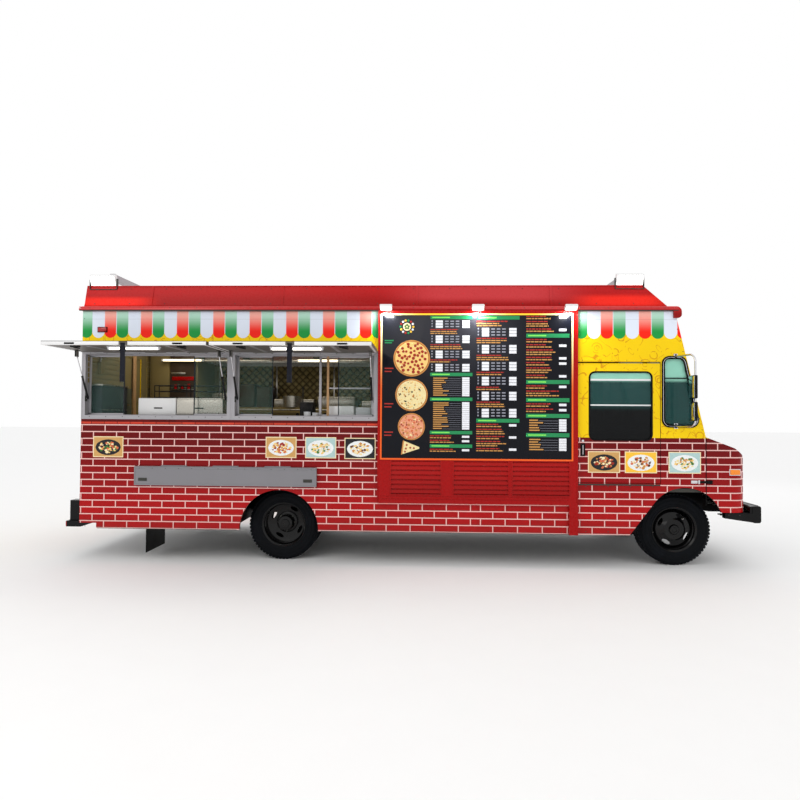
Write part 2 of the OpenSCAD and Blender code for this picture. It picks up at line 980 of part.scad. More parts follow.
module rear_step() {
    low = 382;
    high = 449;
    color("#111111")
        difference() {
            union() {
                block([-3954, -1150, low], [-3780, 1150, high]);
                both_sides() {
                    block([-3930, -1110, high], [-3812, -990, 683]);
                    block([-3812, -1110, 620], [-body_back, -990, 683]);
                    block([-3812, -rail_y - 30, high], [-3782, -rail_y + 30, rail_low]);
                }
            }
            rod_z(low - 1, high + 1, tow_hole[0], 0, tow_hole[1]);
        }
}

module mud_flaps() {
    color("#111111") both_sides()
        block([-3074, -1000, 60], [-3066, -470, 758]);
}

// Door mirrors on tube loops
module mirrors() {
    x0 = 3014;
    x1 = 3105;
    tube = 12;
    high = 2380;
    low = 1600;
    // [lower z, upper z] of the heads
    HEADS = [[1660, 1865], [1900, 2150]];
    color("silver") both_sides() {
        rod_z(low - 20, high + 20, x1, -mirror_out, tube);
        for (z = [low, high]) {
            run = norm([x1 - x0, mirror_out - half - 5]);
            block([x0 - 24, -half - 8, z - 14], [x0 + 24, -half, z + 14]);
            translate([x0, -half - 5, z])
                rotate([0, 0, -atan2(mirror_out - half - 5, x1 - x0)])
                    rod_x(0, run, 0, 0, tube - 3);
        }
        for (h = HEADS)
            block([x1 - 40, -mirror_out - mirror_r, h[0]], [x1 + 5, -mirror_out + mirror_r, h[1]]);
    }
}

// ---- inside ----

module seats() {
    color("#222222")
        for (y = [-640, 640])
            translate([0, y, floor_z]) {
                block([2230, -160, 0], [2560, 160, 300]);
                block([2150, -250, 300], [2660, 250, 430]);
                across(-250, 250)
                    polygon([[2150, 400], [2270, 400], [2200, 1050], [2100, 1050]]);
            }
}

module dashboard() {
    wheel_at = [2800, 640, 1600];
    wheel_tilt = -28;
    color("#222222") {
        across(-1150, 1150)
            polygon([[3080, 1300], [3304, 1300], [3304, 1470], [3180, 1500], [3080, 1450]]);
        translate(wheel_at)
            rotate([0, wheel_tilt, 0]) {
                rotate_extrude()
                    translate([210, 0]) circle(r = 16);
                for (a = [0:120:240])
                    rotate([0, 0, a])
                        rod_x(0, 205, 0, 0, 11);
                translate([0, 0, -30]) cylinder(h = 45, r = 45);
            }
        translate(wheel_at)
            rotate([0, wheel_tilt + 90 + 35, 0])
                cylinder(h = 380, r = 24);
    }
}

module engine_cover() {
    color("#333333")
        difference() {
            block([2880, -400, floor_z], [cowl_x - wall, 400, 1290]);
            block([2925, -350, floor_z - 1], [cowl_x, 350, 1250]);
        }
}

// Counter under the service windows, cooking line and fridge
module kitchen_units() {
    t = 20;
    // [low corner, high corner] of each cabinet, open to the floor
    CABINETS = [
        [[-3690, -1095, floor_z], [-345, -620, 1625]],
        [[-2950, 560, floor_z], [600, inner - 5, 1800]],
        [[-3690, 430, floor_z], [-3010, inner - 5, 2650]]];
    color("silver")
        for (c = CABINETS)
            difference() {
                block(c[0], c[1]);
                block(c[0] + [t, t, -1], c[1] - [t, t, t]);
            }
}

// Extraction hood over the cooking line, open below
module range_hood() {
    t = 20;
    back = inner - 5;
    color("lightgray")
        translate([-2900, 0, 0])
            rotate([90, 0, 90])
                difference() {
                    linear_extrude(2450)
                        polygon([[380, 2430], [back, 2430], [back, 2800], [600, 2800]]);
                    translate([0, 0, t])
                        linear_extrude(2450 - 2 * t)
                            polygon([[380 + 1.4 * t, 2429], [back - t, 2429], [back - t, 2800 - t], [600 + t / 2, 2800 - t]]);
                }
}

placed() frame_rails();
placed() cross_members();
placed() engine_block();
placed() drive_shaft();
placed() exhaust();
placed() fuel_tank();
placed() front_axle_beam();
placed() rear_axle();
placed() leaf_springs();
placed() floor();
placed() service_side_panel();
placed() driver_side_panel();
placed() upper_panels();
placed() middle_panels();
placed() quarter_panels();
placed() sill_panels();
placed() roof();
placed() roof_screen();
placed() roof_end_frames();
placed() rear_wall();
placed() cab_front();
placed() window_glass();
placed() service_window_frames();
placed() louvred_covers();
placed() front_bumper();
placed() rear_step();
placed() mud_flaps();
placed() mirrors();
placed() seats();
placed() dashboard();
placed() engine_cover();
placed() kitchen_units();
placed() range_hood();
placed() hood();
placed() grille();
placed() side_door_right();
placed() side_door_left();
placed() door_glass_right();
placed() door_glass_left();
placed() rear_door();
placed() flap_rear();
placed() flap_front();
placed() strut_barrels_rear();
placed() strut_barrels_front();
placed() strut_rods_rear();
placed() strut_rods_front();
placed() pull_strap_rear();
placed() pull_strap_front();
placed() shelf();
placed() knuckle_right();
placed() knuckle_left();
placed() tie_rod();
placed() tyre_front_right();
placed() tyre_front_left();
placed() tyre_rear_right();
placed() tyre_rear_left();
placed() rim_front_right();
placed() rim_front_left();
placed() rim_rear_right();
placed() rim_rear_left();
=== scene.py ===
import math
import random

import bmesh
import bpy
from mathutils import Matrix, Vector


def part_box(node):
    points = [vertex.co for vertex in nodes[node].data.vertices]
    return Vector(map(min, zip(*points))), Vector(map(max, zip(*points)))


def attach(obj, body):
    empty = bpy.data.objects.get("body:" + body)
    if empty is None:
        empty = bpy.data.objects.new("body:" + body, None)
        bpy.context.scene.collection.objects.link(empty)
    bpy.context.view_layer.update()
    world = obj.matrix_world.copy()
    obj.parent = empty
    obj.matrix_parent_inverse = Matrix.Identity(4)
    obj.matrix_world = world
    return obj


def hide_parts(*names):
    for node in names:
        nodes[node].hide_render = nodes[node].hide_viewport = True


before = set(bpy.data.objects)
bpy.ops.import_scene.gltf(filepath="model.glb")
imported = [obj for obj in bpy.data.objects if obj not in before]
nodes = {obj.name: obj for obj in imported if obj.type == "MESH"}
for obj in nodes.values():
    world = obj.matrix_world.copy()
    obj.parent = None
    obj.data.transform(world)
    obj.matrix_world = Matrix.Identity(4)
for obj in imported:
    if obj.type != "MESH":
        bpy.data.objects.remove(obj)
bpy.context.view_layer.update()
scene = bpy.context.scene

# places read from the frame

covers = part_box("louvred_covers")
midY = (covers[0].y + covers[1].y) / 2
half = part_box("driver_side_panel")[1].y - midY
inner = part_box("driver_side_panel")[0].y - midY
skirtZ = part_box("service_side_panel")[0].z
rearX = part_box("rear_wall")[1].x - (half - inner)
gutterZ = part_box("upper_panels")[1].z
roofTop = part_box("range_hood")[1].z + 0.14
coverBack = covers[0].x
coverFront = covers[1].x
coverFace = midY - covers[0].y
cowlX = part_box("quarter_panels")[1].x
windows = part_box("service_window_frames")
sillZ = windows[0].z
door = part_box("side_door_right")
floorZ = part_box("floor")[1].z
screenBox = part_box("roof_screen")
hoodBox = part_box("hood")
frontAxle = (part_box("tyre_front_right")[0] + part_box("tyre_front_right")[1]) / 2
rearAxle = (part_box("tyre_rear_right")[0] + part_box("tyre_rear_right")[1]) / 2
tyreRadius = frontAxle.z

service = -1
driver = 1


def out(side, distance):
    # the Y of a point this far from the centre plane
    return midY + side * distance


# camera, light and floor

cameraView = {"place": (0.201, midY - 8.27, 1.714), "lens": 28.0, "yaw": 2.2, "pitch": 1.3, "roll": 0.37}


def makeCamera():
    data = bpy.data.cameras.new("camera")
    data.lens = cameraView["lens"]
    data.sensor_width = 36
    camera = bpy.data.objects.new("camera", data)
    scene.collection.objects.link(camera)
    turn = Matrix.Rotation(math.radians(cameraView["yaw"]), 4, "Z")
    tilt = Matrix.Rotation(math.radians(90 + cameraView["pitch"]), 4, "X")
    roll = Matrix.Rotation(math.radians(cameraView["roll"]), 4, "Z")
    camera.matrix_world = Matrix.Translation(cameraView["place"]) @ turn @ tilt @ roll
    scene.camera = camera


studio = {"world": 1.0, "key": 170, "fill": 60, "kitchen": 8}


def addLamp(name, place, target, size, power, colour=(1, 1, 1)):
    data = bpy.data.lights.new(name, "AREA")
    data.shape = "RECTANGLE"
    data.size = size[0]
    data.size_y = size[1]
    data.energy = power
    data.color = colour
    lamp = bpy.data.objects.new(name, data)
    scene.collection.objects.link(lamp)
    aim = Vector(target) - Vector(place)
    lamp.matrix_world = Matrix.Translation(place) @ aim.to_track_quat("-Z", "Y").to_matrix().to_4x4()


def makeStudio():
    world = bpy.data.worlds.new("studio")
    world.use_nodes = True
    sky = world.node_tree.nodes["Background"]
    sky.inputs["Color"].default_value = (1, 1, 1, 1)
    sky.inputs["Strength"].default_value = studio["world"]
    scene.world = world
    scene.view_settings.view_transform = "Standard"
    scene.view_settings.look = "None"
    addLamp("keyLight", (-5, midY - 9, 7), (0, midY, 1.5), (7, 5), studio["key"], (1, 0.98, 0.95))
    addLamp("fillLight", (6, midY + 9, 6), (0, midY, 1.5), (7, 5), studio["fill"])
    for x in (-2.9, -1.2):
        addLamp("kitchenLight", (x, midY - 0.2, 2.84), (x, midY - 0.2, 1), (1.3, 0.5), studio["kitchen"],
                (1, 0.93, 0.76))
    bm = bmesh.new()
    bmesh.ops.create_grid(bm, x_segments=1, y_segments=1, size=60)
    mesh = bpy.data.meshes.new("studioFloor")
    bm.to_mesh(mesh)
    bm.free()
    floor = bpy.data.objects.new("studioFloor", mesh)
    scene.collection.objects.link(floor)
    mesh.materials.append(makeFloorFinish())


# shader maths

class Field:
    # one socket of a node, used like a number

    def __init__(self, paint, socket):
        self.paint = paint
        self.socket = socket

    def __add__(self, other):
        return self.paint.maths("ADD", self, other)

    def __sub__(self, other):
        return self.paint.maths("SUBTRACT", self, other)

    def __rsub__(self, other):
        return self.paint.maths("SUBTRACT", other, self)

    def __mul__(self, other):
        return self.paint.maths("MULTIPLY", self, other)

    def __truediv__(self, other):
        return self.paint.maths("DIVIDE", self, other)

    def __lt__(self, other):
        return self.paint.maths("LESS_THAN", self, other)

    def __gt__(self, other):
        return self.paint.maths("GREATER_THAN", self, other)

    def __mod__(self, other):
        return self.paint.maths("FLOORED_MODULO", self, other)

    def __or__(self, other):
        return self.paint.maths("MAXIMUM", self, other)

    def __abs__(self):
        return self.paint.maths("ABSOLUTE", self, 0)

    def __floor__(self):
        return self.paint.maths("FLOOR", self, 0)

    __radd__ = __add__
    __rmul__ = __mul__


class Paint:
    # a material and the tools to mix it

    def __init__(self, name, sockets=None):
        self.material = bpy.data.materials.new(name)
        self.material.use_nodes = True
        self.tree = self.material.node_tree
        self.shader = self.tree.nodes["Principled BSDF"]
        self.set({"Specular IOR Level": 0.12})
        self.set(sockets or {})

    def feed(self, target, value):
        if isinstance(value, Field):
            self.tree.links.new(value.socket, target)
        else:
            target.default_value = value[:3] if target.type == "VECTOR" else value

    def set(self, sockets):
        for name, value in sockets.items():
            self.feed(self.shader.inputs[name], value)

    def node(self, kind, settings=None, inputs=None, output=0):
        made = self.tree.nodes.new("ShaderNode" + kind)
        for name, value in (settings or {}).items():
            if name == "stops":
                self.fillRamp(made.color_ramp, value)
            else:
                setattr(made, name, value)
        for name, value in (inputs or {}).items():
            self.feed(made.inputs[name], value)
        return Field(self, made.outputs[output])

    def fillRamp(self, ramp, stops):
        while len(ramp.elements) < len(stops):
            ramp.elements.new(0.5)
        for element, (position, colour) in zip(ramp.elements, stops):
            element.position = position
            element.color = colour

    def maths(self, operation, first, second):
        return self.node("Math", {"operation": operation}, {0: first, 1: second})

    def smooth(self, value, low, high):
        settings = {"interpolation_type": "SMOOTHSTEP"}
        return self.node("MapRange", settings, {"Value": value, "From Min": low, "From Max": high})

    def mix(self, factor, first, second):
        return self.node("Mix", {"data_type": "RGBA"}, {0: factor, 6: first, 7: second}, 2)

    def tinted(self, colour, strength):
        # a colour made lighter or darker by a number around 1
        both = self.node("CombineXYZ", {}, {0: strength, 1: strength, 2: strength})
        return self.node("VectorMath", {"operation": "MULTIPLY"}, {0: colour, 1: both})

    def split(self, vector):
        first = self.node("SeparateXYZ", {}, {0: vector})
        return [Field(self, socket) for socket in first.socket.node.outputs]

    def place(self):
        return self.node("TexCoord", output=3)

    def facing(self):
        return self.node("TexCoord", output=1)

    def point(self, x, y, z=0.0):
        return self.node("CombineXYZ", {}, {0: x, 1: y, 2: z})

    def scaled(self, stretch, vector=None):
        return self.node("Mapping", {}, {"Vector": vector or self.place(), "Scale": stretch})

    def noise(self, scale, detail=3.0, rough=0.55, vector=None):
        inputs = {"Vector": vector or self.place(), "Scale": scale, "Detail": detail, "Roughness": rough}
        return self.node("TexNoise", {}, inputs)

    def cells(self, scale, feature="F1", vector=None, output=0):
        inputs = {"Vector": vector or self.place(), "Scale": scale}
        return self.node("TexVoronoi", {"feature": feature}, inputs, output)

    def chance(self, vector):
        return self.node("TexWhiteNoise", {"noise_dimensions": "2D"}, {"Vector": vector})

    def bump(self, height, depth, strength=0.6):
        made = self.node("Bump", {}, {"Strength": strength, "Distance": depth, "Height": height})
        self.set({"Normal": made})


def rgb(red, green, blue):
    # screen values from 0 to 255, turned into light values
    parts = [value / 255 for value in (red, green, blue)]
    return tuple(p / 12.92 if p < 0.04045 else ((p + 0.055) / 1.055) ** 2.4 for p in parts) + (1.0,)


# finishes

wrap = {
    "stripe": 0.1415, "rearStart": -3.652 - 0.1415, "cabStart": 2.041 - 0.1408, "tipZ": gutterZ - 0.318,
    "seamZ": gutterZ - 0.099, "course": 0.079, "joint": 0.0115, "rearBrick": 0.272, "cabBrick": 0.2766,
    "rearJoint": -3.489, "cabJoint": 2.084, "cabBrickTop": 1.465, "trimCourse": 0.030, "trimBrick": 0.152,
}
wrapColours = {
    "greenDeep": rgb(30, 152, 68), "greenPale": rgb(186, 226, 208), "redDeep": rgb(250, 36, 18),
    "redPale": rgb(250, 178, 164), "white": rgb(226, 234, 248), "yellow": rgb(247, 207, 10),
    "doodle": rgb(206, 132, 14), "brickPaintedShade": rgb(104, 10, 14), "brickPaintedLight": rgb(172, 17, 20),
    "mortar": rgb(246, 200, 194), "trimDark": rgb(96, 14, 16), "trimLight": rgb(196, 62, 44),
    "lining": rgb(132, 120, 84), "cabLining": rgb(38, 38, 40),
}


def brickCourses(p, along, up, length, course, joint):
    row = math.floor(up / course)
    spot = along / length + (row % 2) * 0.5
    column = math.floor(spot)
    fromEnd = (spot - column) * length
    fromBed = up - row * course
    mortar = (fromEnd < joint) | (fromBed < joint)
    shade = (fromEnd < joint * 1.9) | (fromBed < joint * 1.7)
    tone = p.chance(p.point(column, row))
    return mortar, shade, tone


def doodleLines(p, along, up):
    # loose rings, leaves and squiggles, drawn in line only
    flat = p.point(along, up)
    wobble = p.noise(7.0, 2.0, 0.5, flat)
    ringAt = p.cells(5.2, vector=flat)
    ring = abs(ringAt + wobble * 0.16 - 0.37) < 0.018
    core = abs(ringAt + wobble * 0.30 - 0.26) < 0.012
    leafAt = p.cells(9.0, vector=p.point(along * 1.0 + up * 0.7, up * 0.45 - along * 0.3, 3.0))
    leaf = abs(leafAt - 0.22) < 0.016
    thread = abs(p.noise(4.2, 1.0, 0.4, flat) - 0.5) < 0.006
    broken = p.noise(13.0, 2.0, 0.5, flat) > 0.46
    return (ring | core | leaf | thread) * broken


def makeWrap():
    c = wrapColours
    p = Paint("wrapFilm", {"Coat Weight": 0.03, "Coat Roughness": 0.12})
    x, y, z = p.split(p.place())
    nx, ny, nz = p.split(p.facing())
    y = y - midY
    onEnd = abs(nx) > 0.72
    onTop = (nz > 0.72) * (x > cowlX)
    across = y * -1.0
    along = x * (1 - onEnd) + across * onEnd
    up = z * (1 - onTop) + (abs(y) * -1.0 + half + 1.36) * onTop
    inCab = x > 0.8

    # awning stripes with round tips
    width = wrap["stripe"]
    stripeAt = (along - (inCab * (wrap["cabStart"] - wrap["rearStart"]) + wrap["rearStart"])) / width
    index = math.floor(stripeAt)
    offMiddle = abs(stripeAt - index - 0.5) * width
    reach = p.maths("SQRT", (width / 2) ** 2 - offMiddle * offMiddle, 0)
    scallop = z > (wrap["tipZ"] + width / 2) - reach
    kind = index % 3
    isWhite = (kind > 0.5) * (kind < 1.5)
    isRed = kind > 1.5
    pale = p.mix(isRed, p.mix(isWhite, c["greenPale"], c["white"]), c["redPale"])
    deep = p.mix(isRed, p.mix(isWhite, c["greenDeep"], c["white"]), c["redDeep"])
    fade = p.smooth(z, wrap["tipZ"] + 0.07, gutterZ - 0.02)
    stripes = p.mix(fade, deep, pale)
    outline = (offMiddle > width / 2 - 0.0045) * 0.7
    stripes = p.mix(outline, stripes, c["white"])

    # yellow ground with drawn food
    drawn = doodleLines(p, along, z)
    yellow = p.mix(drawn * 0.75, c["yellow"], c["doodle"])
    yellow = p.tinted(yellow, p.noise(1.6, 3.0) * 0.16 + 0.92)

    # bricks
    length = inCab * (wrap["cabBrick"] - wrap["rearBrick"]) + wrap["rearBrick"]
    startX = inCab * (wrap["cabJoint"] - wrap["rearJoint"]) + wrap["rearJoint"]
    mortar, shade, tone = brickCourses(p, along - startX, up - skirtZ, length, wrap["course"], wrap["joint"])
    # painted light: the bricks are a shaded dark red high up and a lit red low down
    paintedBrickLight = p.smooth(z, 1.55, 0.5)
    brick = p.mix(paintedBrickLight, c["brickPaintedShade"], c["brickPaintedLight"])
    grain = p.noise(38.0, 4.0, 0.6)
    brick = p.tinted(brick, tone * 0.16 + grain * 0.22 + 0.80)
    brick = p.mix(shade * 0.32, brick, rgb(70, 6, 12))
    bricks = p.mix(mortar * 0.93, brick, c["mortar"])

    # two narrow courses under the windows
    trimTop = sillZ
    trimLow = sillZ - 2 * wrap["trimCourse"]
    trimBed, _, trimTone = brickCourses(
        p, along, z - trimLow, wrap["trimBrick"], wrap["trimCourse"], 0.006)
    trimColour = p.mix(z > trimLow + wrap["trimCourse"], c["trimLight"], c["trimDark"])
    trimColour = p.tinted(trimColour, trimTone * 0.4 + 0.8)
    trim = p.mix(trimBed, trimColour, rgb(84, 12, 14))
    inTrim = (z > trimLow) * (1 - inCab)

    brickTop = inCab * (wrap["cabBrickTop"] - trimTop) + trimTop
    ground = p.mix(z > brickTop, p.mix(inTrim, bricks, trim), yellow)
    skin = p.mix(scallop, ground, stripes)

    # panel seam, dirt at the skirt and a painted shadow under the gutter
    seam = (abs(z - wrap["seamZ"]) < 0.0022) * 0.28
    skin = p.mix(seam, skin, rgb(90, 90, 90))
    # painted shadow: a dark red band just below the gutter
    under = p.smooth(z, gutterZ - 0.016, gutterZ - 0.004) * 0.75
    skin = p.mix(under, skin, rgb(70, 8, 8))
    grime = p.smooth(z, skirtZ + 0.22, skirtZ) * p.noise(5.0, 4.0) * 0.35
    skin = p.mix(grime, skin, rgb(60, 40, 38))

    # the side that faces in
    inside = (abs(y) < inner + 0.0125) * (x < cowlX - 0.05) * (x > rearX + 0.0385)
    inside = inside | ((nx < -0.3) * (x > cowlX - 0.6)) | ((nx > 0.3) * (x < rearX + 0.2))
    underHood = (x > cowlX + 0.02) * ((nz < -0.2) | (y * ny < -0.3))
    lining = p.mix(x > coverFront - 0.3, c["lining"], c["cabLining"])
    lining = p.tinted(lining, p.noise(3.0, 3.0) * 0.2 + 0.9)
    p.set({"Base Color": p.mix(underHood, p.mix(inside, skin, lining), rgb(26, 26, 28))})
    p.set({"Roughness": p.noise(24.0, 3.0) * 0.10 + 0.27})
    p.bump(p.noise(9.0, 2.0, 0.4), 0.0012, 0.25)
    return p.material


def makeRed(name, top, low, zLow, zHigh, lampLightPools=()):
    # red enamel with painted light: a little darker towards one edge as painted shade, and paler by the lamps
    # as painted lamp light
    p = Paint(name, {"Coat Weight": 0.06, "Coat Roughness": 0.08})
    x, y, z = p.split(p.place())
    cloud = p.noise(0.8, 2.0, 0.4, p.scaled((0.45, 0.45, 1.2)))
    # painted shade: the colour darkens from the top colour towards zLow
    height = p.smooth(z + cloud * 0.10 - 0.05, zLow, zHigh)
    colour = p.mix(height, low, top)
    # painted lamp light: a paler pool near each lamp
    for place, width, zMiddle, zWidth, tint in lampLightPools:
        nearX = 1 - p.smooth(abs(x - place), width * 0.35, width)
        nearZ = 1 - p.smooth(abs(z - zMiddle), zWidth * 0.3, zWidth)
        colour = p.mix(nearX * nearZ, colour, tint)
    colour = p.tinted(colour, p.noise(60.0, 2.0) * 0.08 + 0.96)
    p.set({"Base Color": colour, "Roughness": p.noise(30.0, 3.0) * 0.12 + 0.22})
    p.bump(p.noise(14.0, 2.0, 0.4), 0.0015, 0.2)
    return p.material


def makeMetal(name, colour, rough=0.3, brushed=(1, 1, 1), metallic=0.9, grain=0.12):
    p = Paint(name, {"Metallic": metallic})
    strokes = p.noise(40.0, 4.0, 0.6, p.scaled(brushed))
    stain = p.noise(2.4, 3.0)
    p.set({"Base Color": p.tinted(colour, strokes * grain + stain * grain + 1 - grain)})
    p.set({"Roughness": strokes * 0.18 + rough - 0.09})
    p.bump(strokes, 0.0006, 0.2)
    return p.material


def makePlastic(name, colour, rough=0.45, grain=220.0, dust=0.15, coat=0.0):
    p = Paint(name, {"Coat Weight": coat})
    fine = p.noise(grain, 2.0)
    worn = p.smooth(p.noise(5.0, 4.0, 0.6), 0.45, 0.75)
    p.set({"Base Color": p.mix(worn * dust, colour, rgb(150, 146, 140))})
    p.set({"Roughness": fine * 0.14 + worn * 0.12 + rough - 0.1})
    p.bump(fine, 0.0008, 0.25)
    return p.material


def makeGlow(name, colour, strength):
    p = Paint(name, {"Roughness": 0.3, "Emission Strength": strength})
    diffused = p.noise(18.0, 1.0) * 0.1 + 0.9
    p.set({"Base Color": rgb(240, 240, 240), "Emission Color": p.tinted(colour, diffused)})
    return p.material


def makeGlass(name, panes):
    # clear in the hatches; in the cab dark low down as painted shade of the cab inside, teal in the middle
    # and pale above as painted light
    p = Paint(name, {"IOR": 1.5, "Coat Weight": 0.12})
    x, y, z = p.split(p.place())
    smear = p.noise(3.0, 3.0, 0.6)
    tint, alpha = panes["hatch"]
    inCab = x > coverFront
    for key, part in (("middle", inCab), ("high", inCab * p.smooth(z, 2.08, 2.13)),
                      ("low", inCab * (x < door[1].x) * p.smooth(z, 1.86, 1.76))):
        tint = p.mix(part, tint, panes[key][0])
        alpha = part * (panes[key][1] - alpha) + alpha
    p.set({"Base Color": p.tinted(tint, smear * 0.2 + 0.9), "Roughness": smear * 0.04 + 0.03})
    p.set({"Alpha": smear * 0.06 + alpha - 0.03})
    return p.material


def makeLens(name, colour):
    p = Paint(name, {"Coat Weight": 1.0, "Coat Roughness": 0.04})
    x, y, z = p.split(p.place())
    prisms = abs((z * 110.0) % 1.0 - 0.5) + abs(((x + y) * 110.0) % 1.0 - 0.5)
    p.set({"Base Color": p.tinted(colour, prisms * 0.35 + 0.8), "Roughness": p.noise(30.0) * 0.1 + 0.12})
    p.bump(prisms, 0.0015, 0.5)
    return p.material


def makeRubber():
    p = Paint("tyreRubber", {})
    dusty = p.noise(6.0, 4.0, 0.65)
    colour = p.mix(p.smooth(dusty, 0.42, 0.72) * 0.3, rgb(4, 6, 10), rgb(22, 26, 34))
    p.set({"Base Color": colour, "Roughness": dusty * 0.25 + 0.55})
    p.bump(p.noise(160.0, 2.0), 0.0008, 0.3)
    return p.material


def makeWeave(name, colour, scale):
    p = Paint(name, {"Sheen Weight": 0.3})
    x, y, z = p.split(p.place())
    warp = abs((x * scale) % 1.0 - 0.5)
    weft = abs((z * scale + y * scale) % 1.0 - 0.5)
    threads = warp * weft * 4.0
    p.set({"Base Color": p.tinted(colour, threads * 0.5 + p.noise(20.0) * 0.3 + 0.6)})
    p.set({"Roughness": threads * 0.1 + 0.75})
    p.bump(threads, 0.001, 0.6)
    return p.material


def makeInk():
    # printed colours, read from each face's own tint
    p = Paint("printInk", {"Coat Weight": 0.3})
    tint = p.node("Attribute", {"attribute_name": "tint"})
    mottle = p.noise(55.0, 3.0, 0.6)
    p.set({"Base Color": p.tinted(tint, mottle * 0.3 + 0.86), "Roughness": mottle * 0.1 + 0.3})
    p.bump(mottle, 0.0006, 0.2)
    return p.material


def makeQuilt():
    # stainless sheet pressed into diamonds, with a painted highlight on the pillows and painted shade in the
    # grooves
    p = Paint("quiltedSteel", {"Metallic": 0.2})
    x, y, z = p.split(p.place())
    size = 9.0
    one = abs(((x + y + z) * size) % 1.0 - 0.5)
    two = abs(((x + y - z) * size) % 1.0 - 0.5)
    pillow = p.smooth(one * two * 4.0, 0.0, 0.5)
    groove = (one < 0.05) | (two < 0.05)
    # painted light and shade: pillows paler, grooves darker
    colour = p.mix(pillow, rgb(126, 112, 70), rgb(172, 154, 104))
    p.set({"Base Color": p.mix(groove * 0.8, colour, rgb(74, 64, 40)), "Roughness": 0.34 - pillow * 0.1})
    p.bump(pillow, 0.012, 0.8)
    return p.material


def makeWood():
    p = Paint("postWood", {})
    grain = p.noise(8.0, 4.0, 0.6, p.scaled((9, 9, 0.8)))
    p.set({"Base Color": p.mix(grain, rgb(150, 112, 74), rgb(214, 176, 132)),
           "Roughness": grain * 0.2 + 0.4})
    p.bump(grain, 0.002, 0.3)
    return p.material


def makeMenuBlack():
    # dark acrylic with a painted grey reflection, paler towards the lamps
    p = Paint("menuBlack", {"Coat Weight": 0.1, "Coat Roughness": 0.05})
    x, y, z = p.split(p.place())
    topZ = gutterZ - 0.06
    paintedReflection = p.smooth(z, topZ - 1.0, topZ) * 0.7
    reflectionStreak = 1 - p.smooth(abs(x - 0.62), 0.1, 0.95)
    colour = p.mix(paintedReflection * reflectionStreak * 0.45, rgb(9, 11, 20), rgb(92, 92, 100))
    seam = (abs(z - (topZ - 0.92)) < 0.0025) * 0.5
    p.set({"Base Color": p.mix(seam, colour, rgb(4, 4, 6)), "Roughness": p.noise(12.0) * 0.1 + 0.18})
    return p.material


def makeBorder():
    # orange surround with painted lamp light: it turns yellow-white below each lamp, pales towards the top
    # and glows, though it is no lamp
    p = Paint("menuBorder", {"Emission Strength": 0.5})
    x, y, z = p.split(p.place())
    topZ = gutterZ - 0.04
    high = p.smooth(z, topZ - 0.9, topZ)
    # painted lamp light: a yellow-white pool under each spot lamp
    lamp = 1 - p.smooth(abs((x + 0.23 + 0.515) % 1.03 - 0.515), 0.05, 0.42)
    warm = p.mix(high * 0.8, rgb(240, 100, 40), rgb(255, 214, 60))
    colour = p.mix(lamp * high, warm, rgb(255, 250, 190))
    p.set({"Base Color": colour, "Emission Color": p.tinted(colour, high * 0.8 + 0.1)})
    p.set({"Roughness": p.noise(20.0) * 0.1 + 0.3})
    return p.material


def makeFloorFinish():
    p = Paint("paleFloor", {})
    speck = p.noise(3.0, 3.0)
    p.set({"Base Color": p.tinted(rgb(246, 246, 246), speck * 0.02 + 0.99),
           "Roughness": speck * 0.1 + 0.75})
    return p.material


def makeCast(name, colour, rust):
    # cast or painted chassis steel with dust and a little rust
    p = Paint(name, {})
    blotch = p.noise(7.0, 5.0, 0.65)
    colour = p.mix(p.smooth(blotch, 0.5, 0.8) * rust, colour, rgb(96, 62, 44))
    p.set({"Base Color": colour, "Roughness": blotch * 0.3 + 0.45, "Metallic": 0.25})
    p.bump(p.noise(70.0, 3.0), 0.002, 0.3)
    return p.material


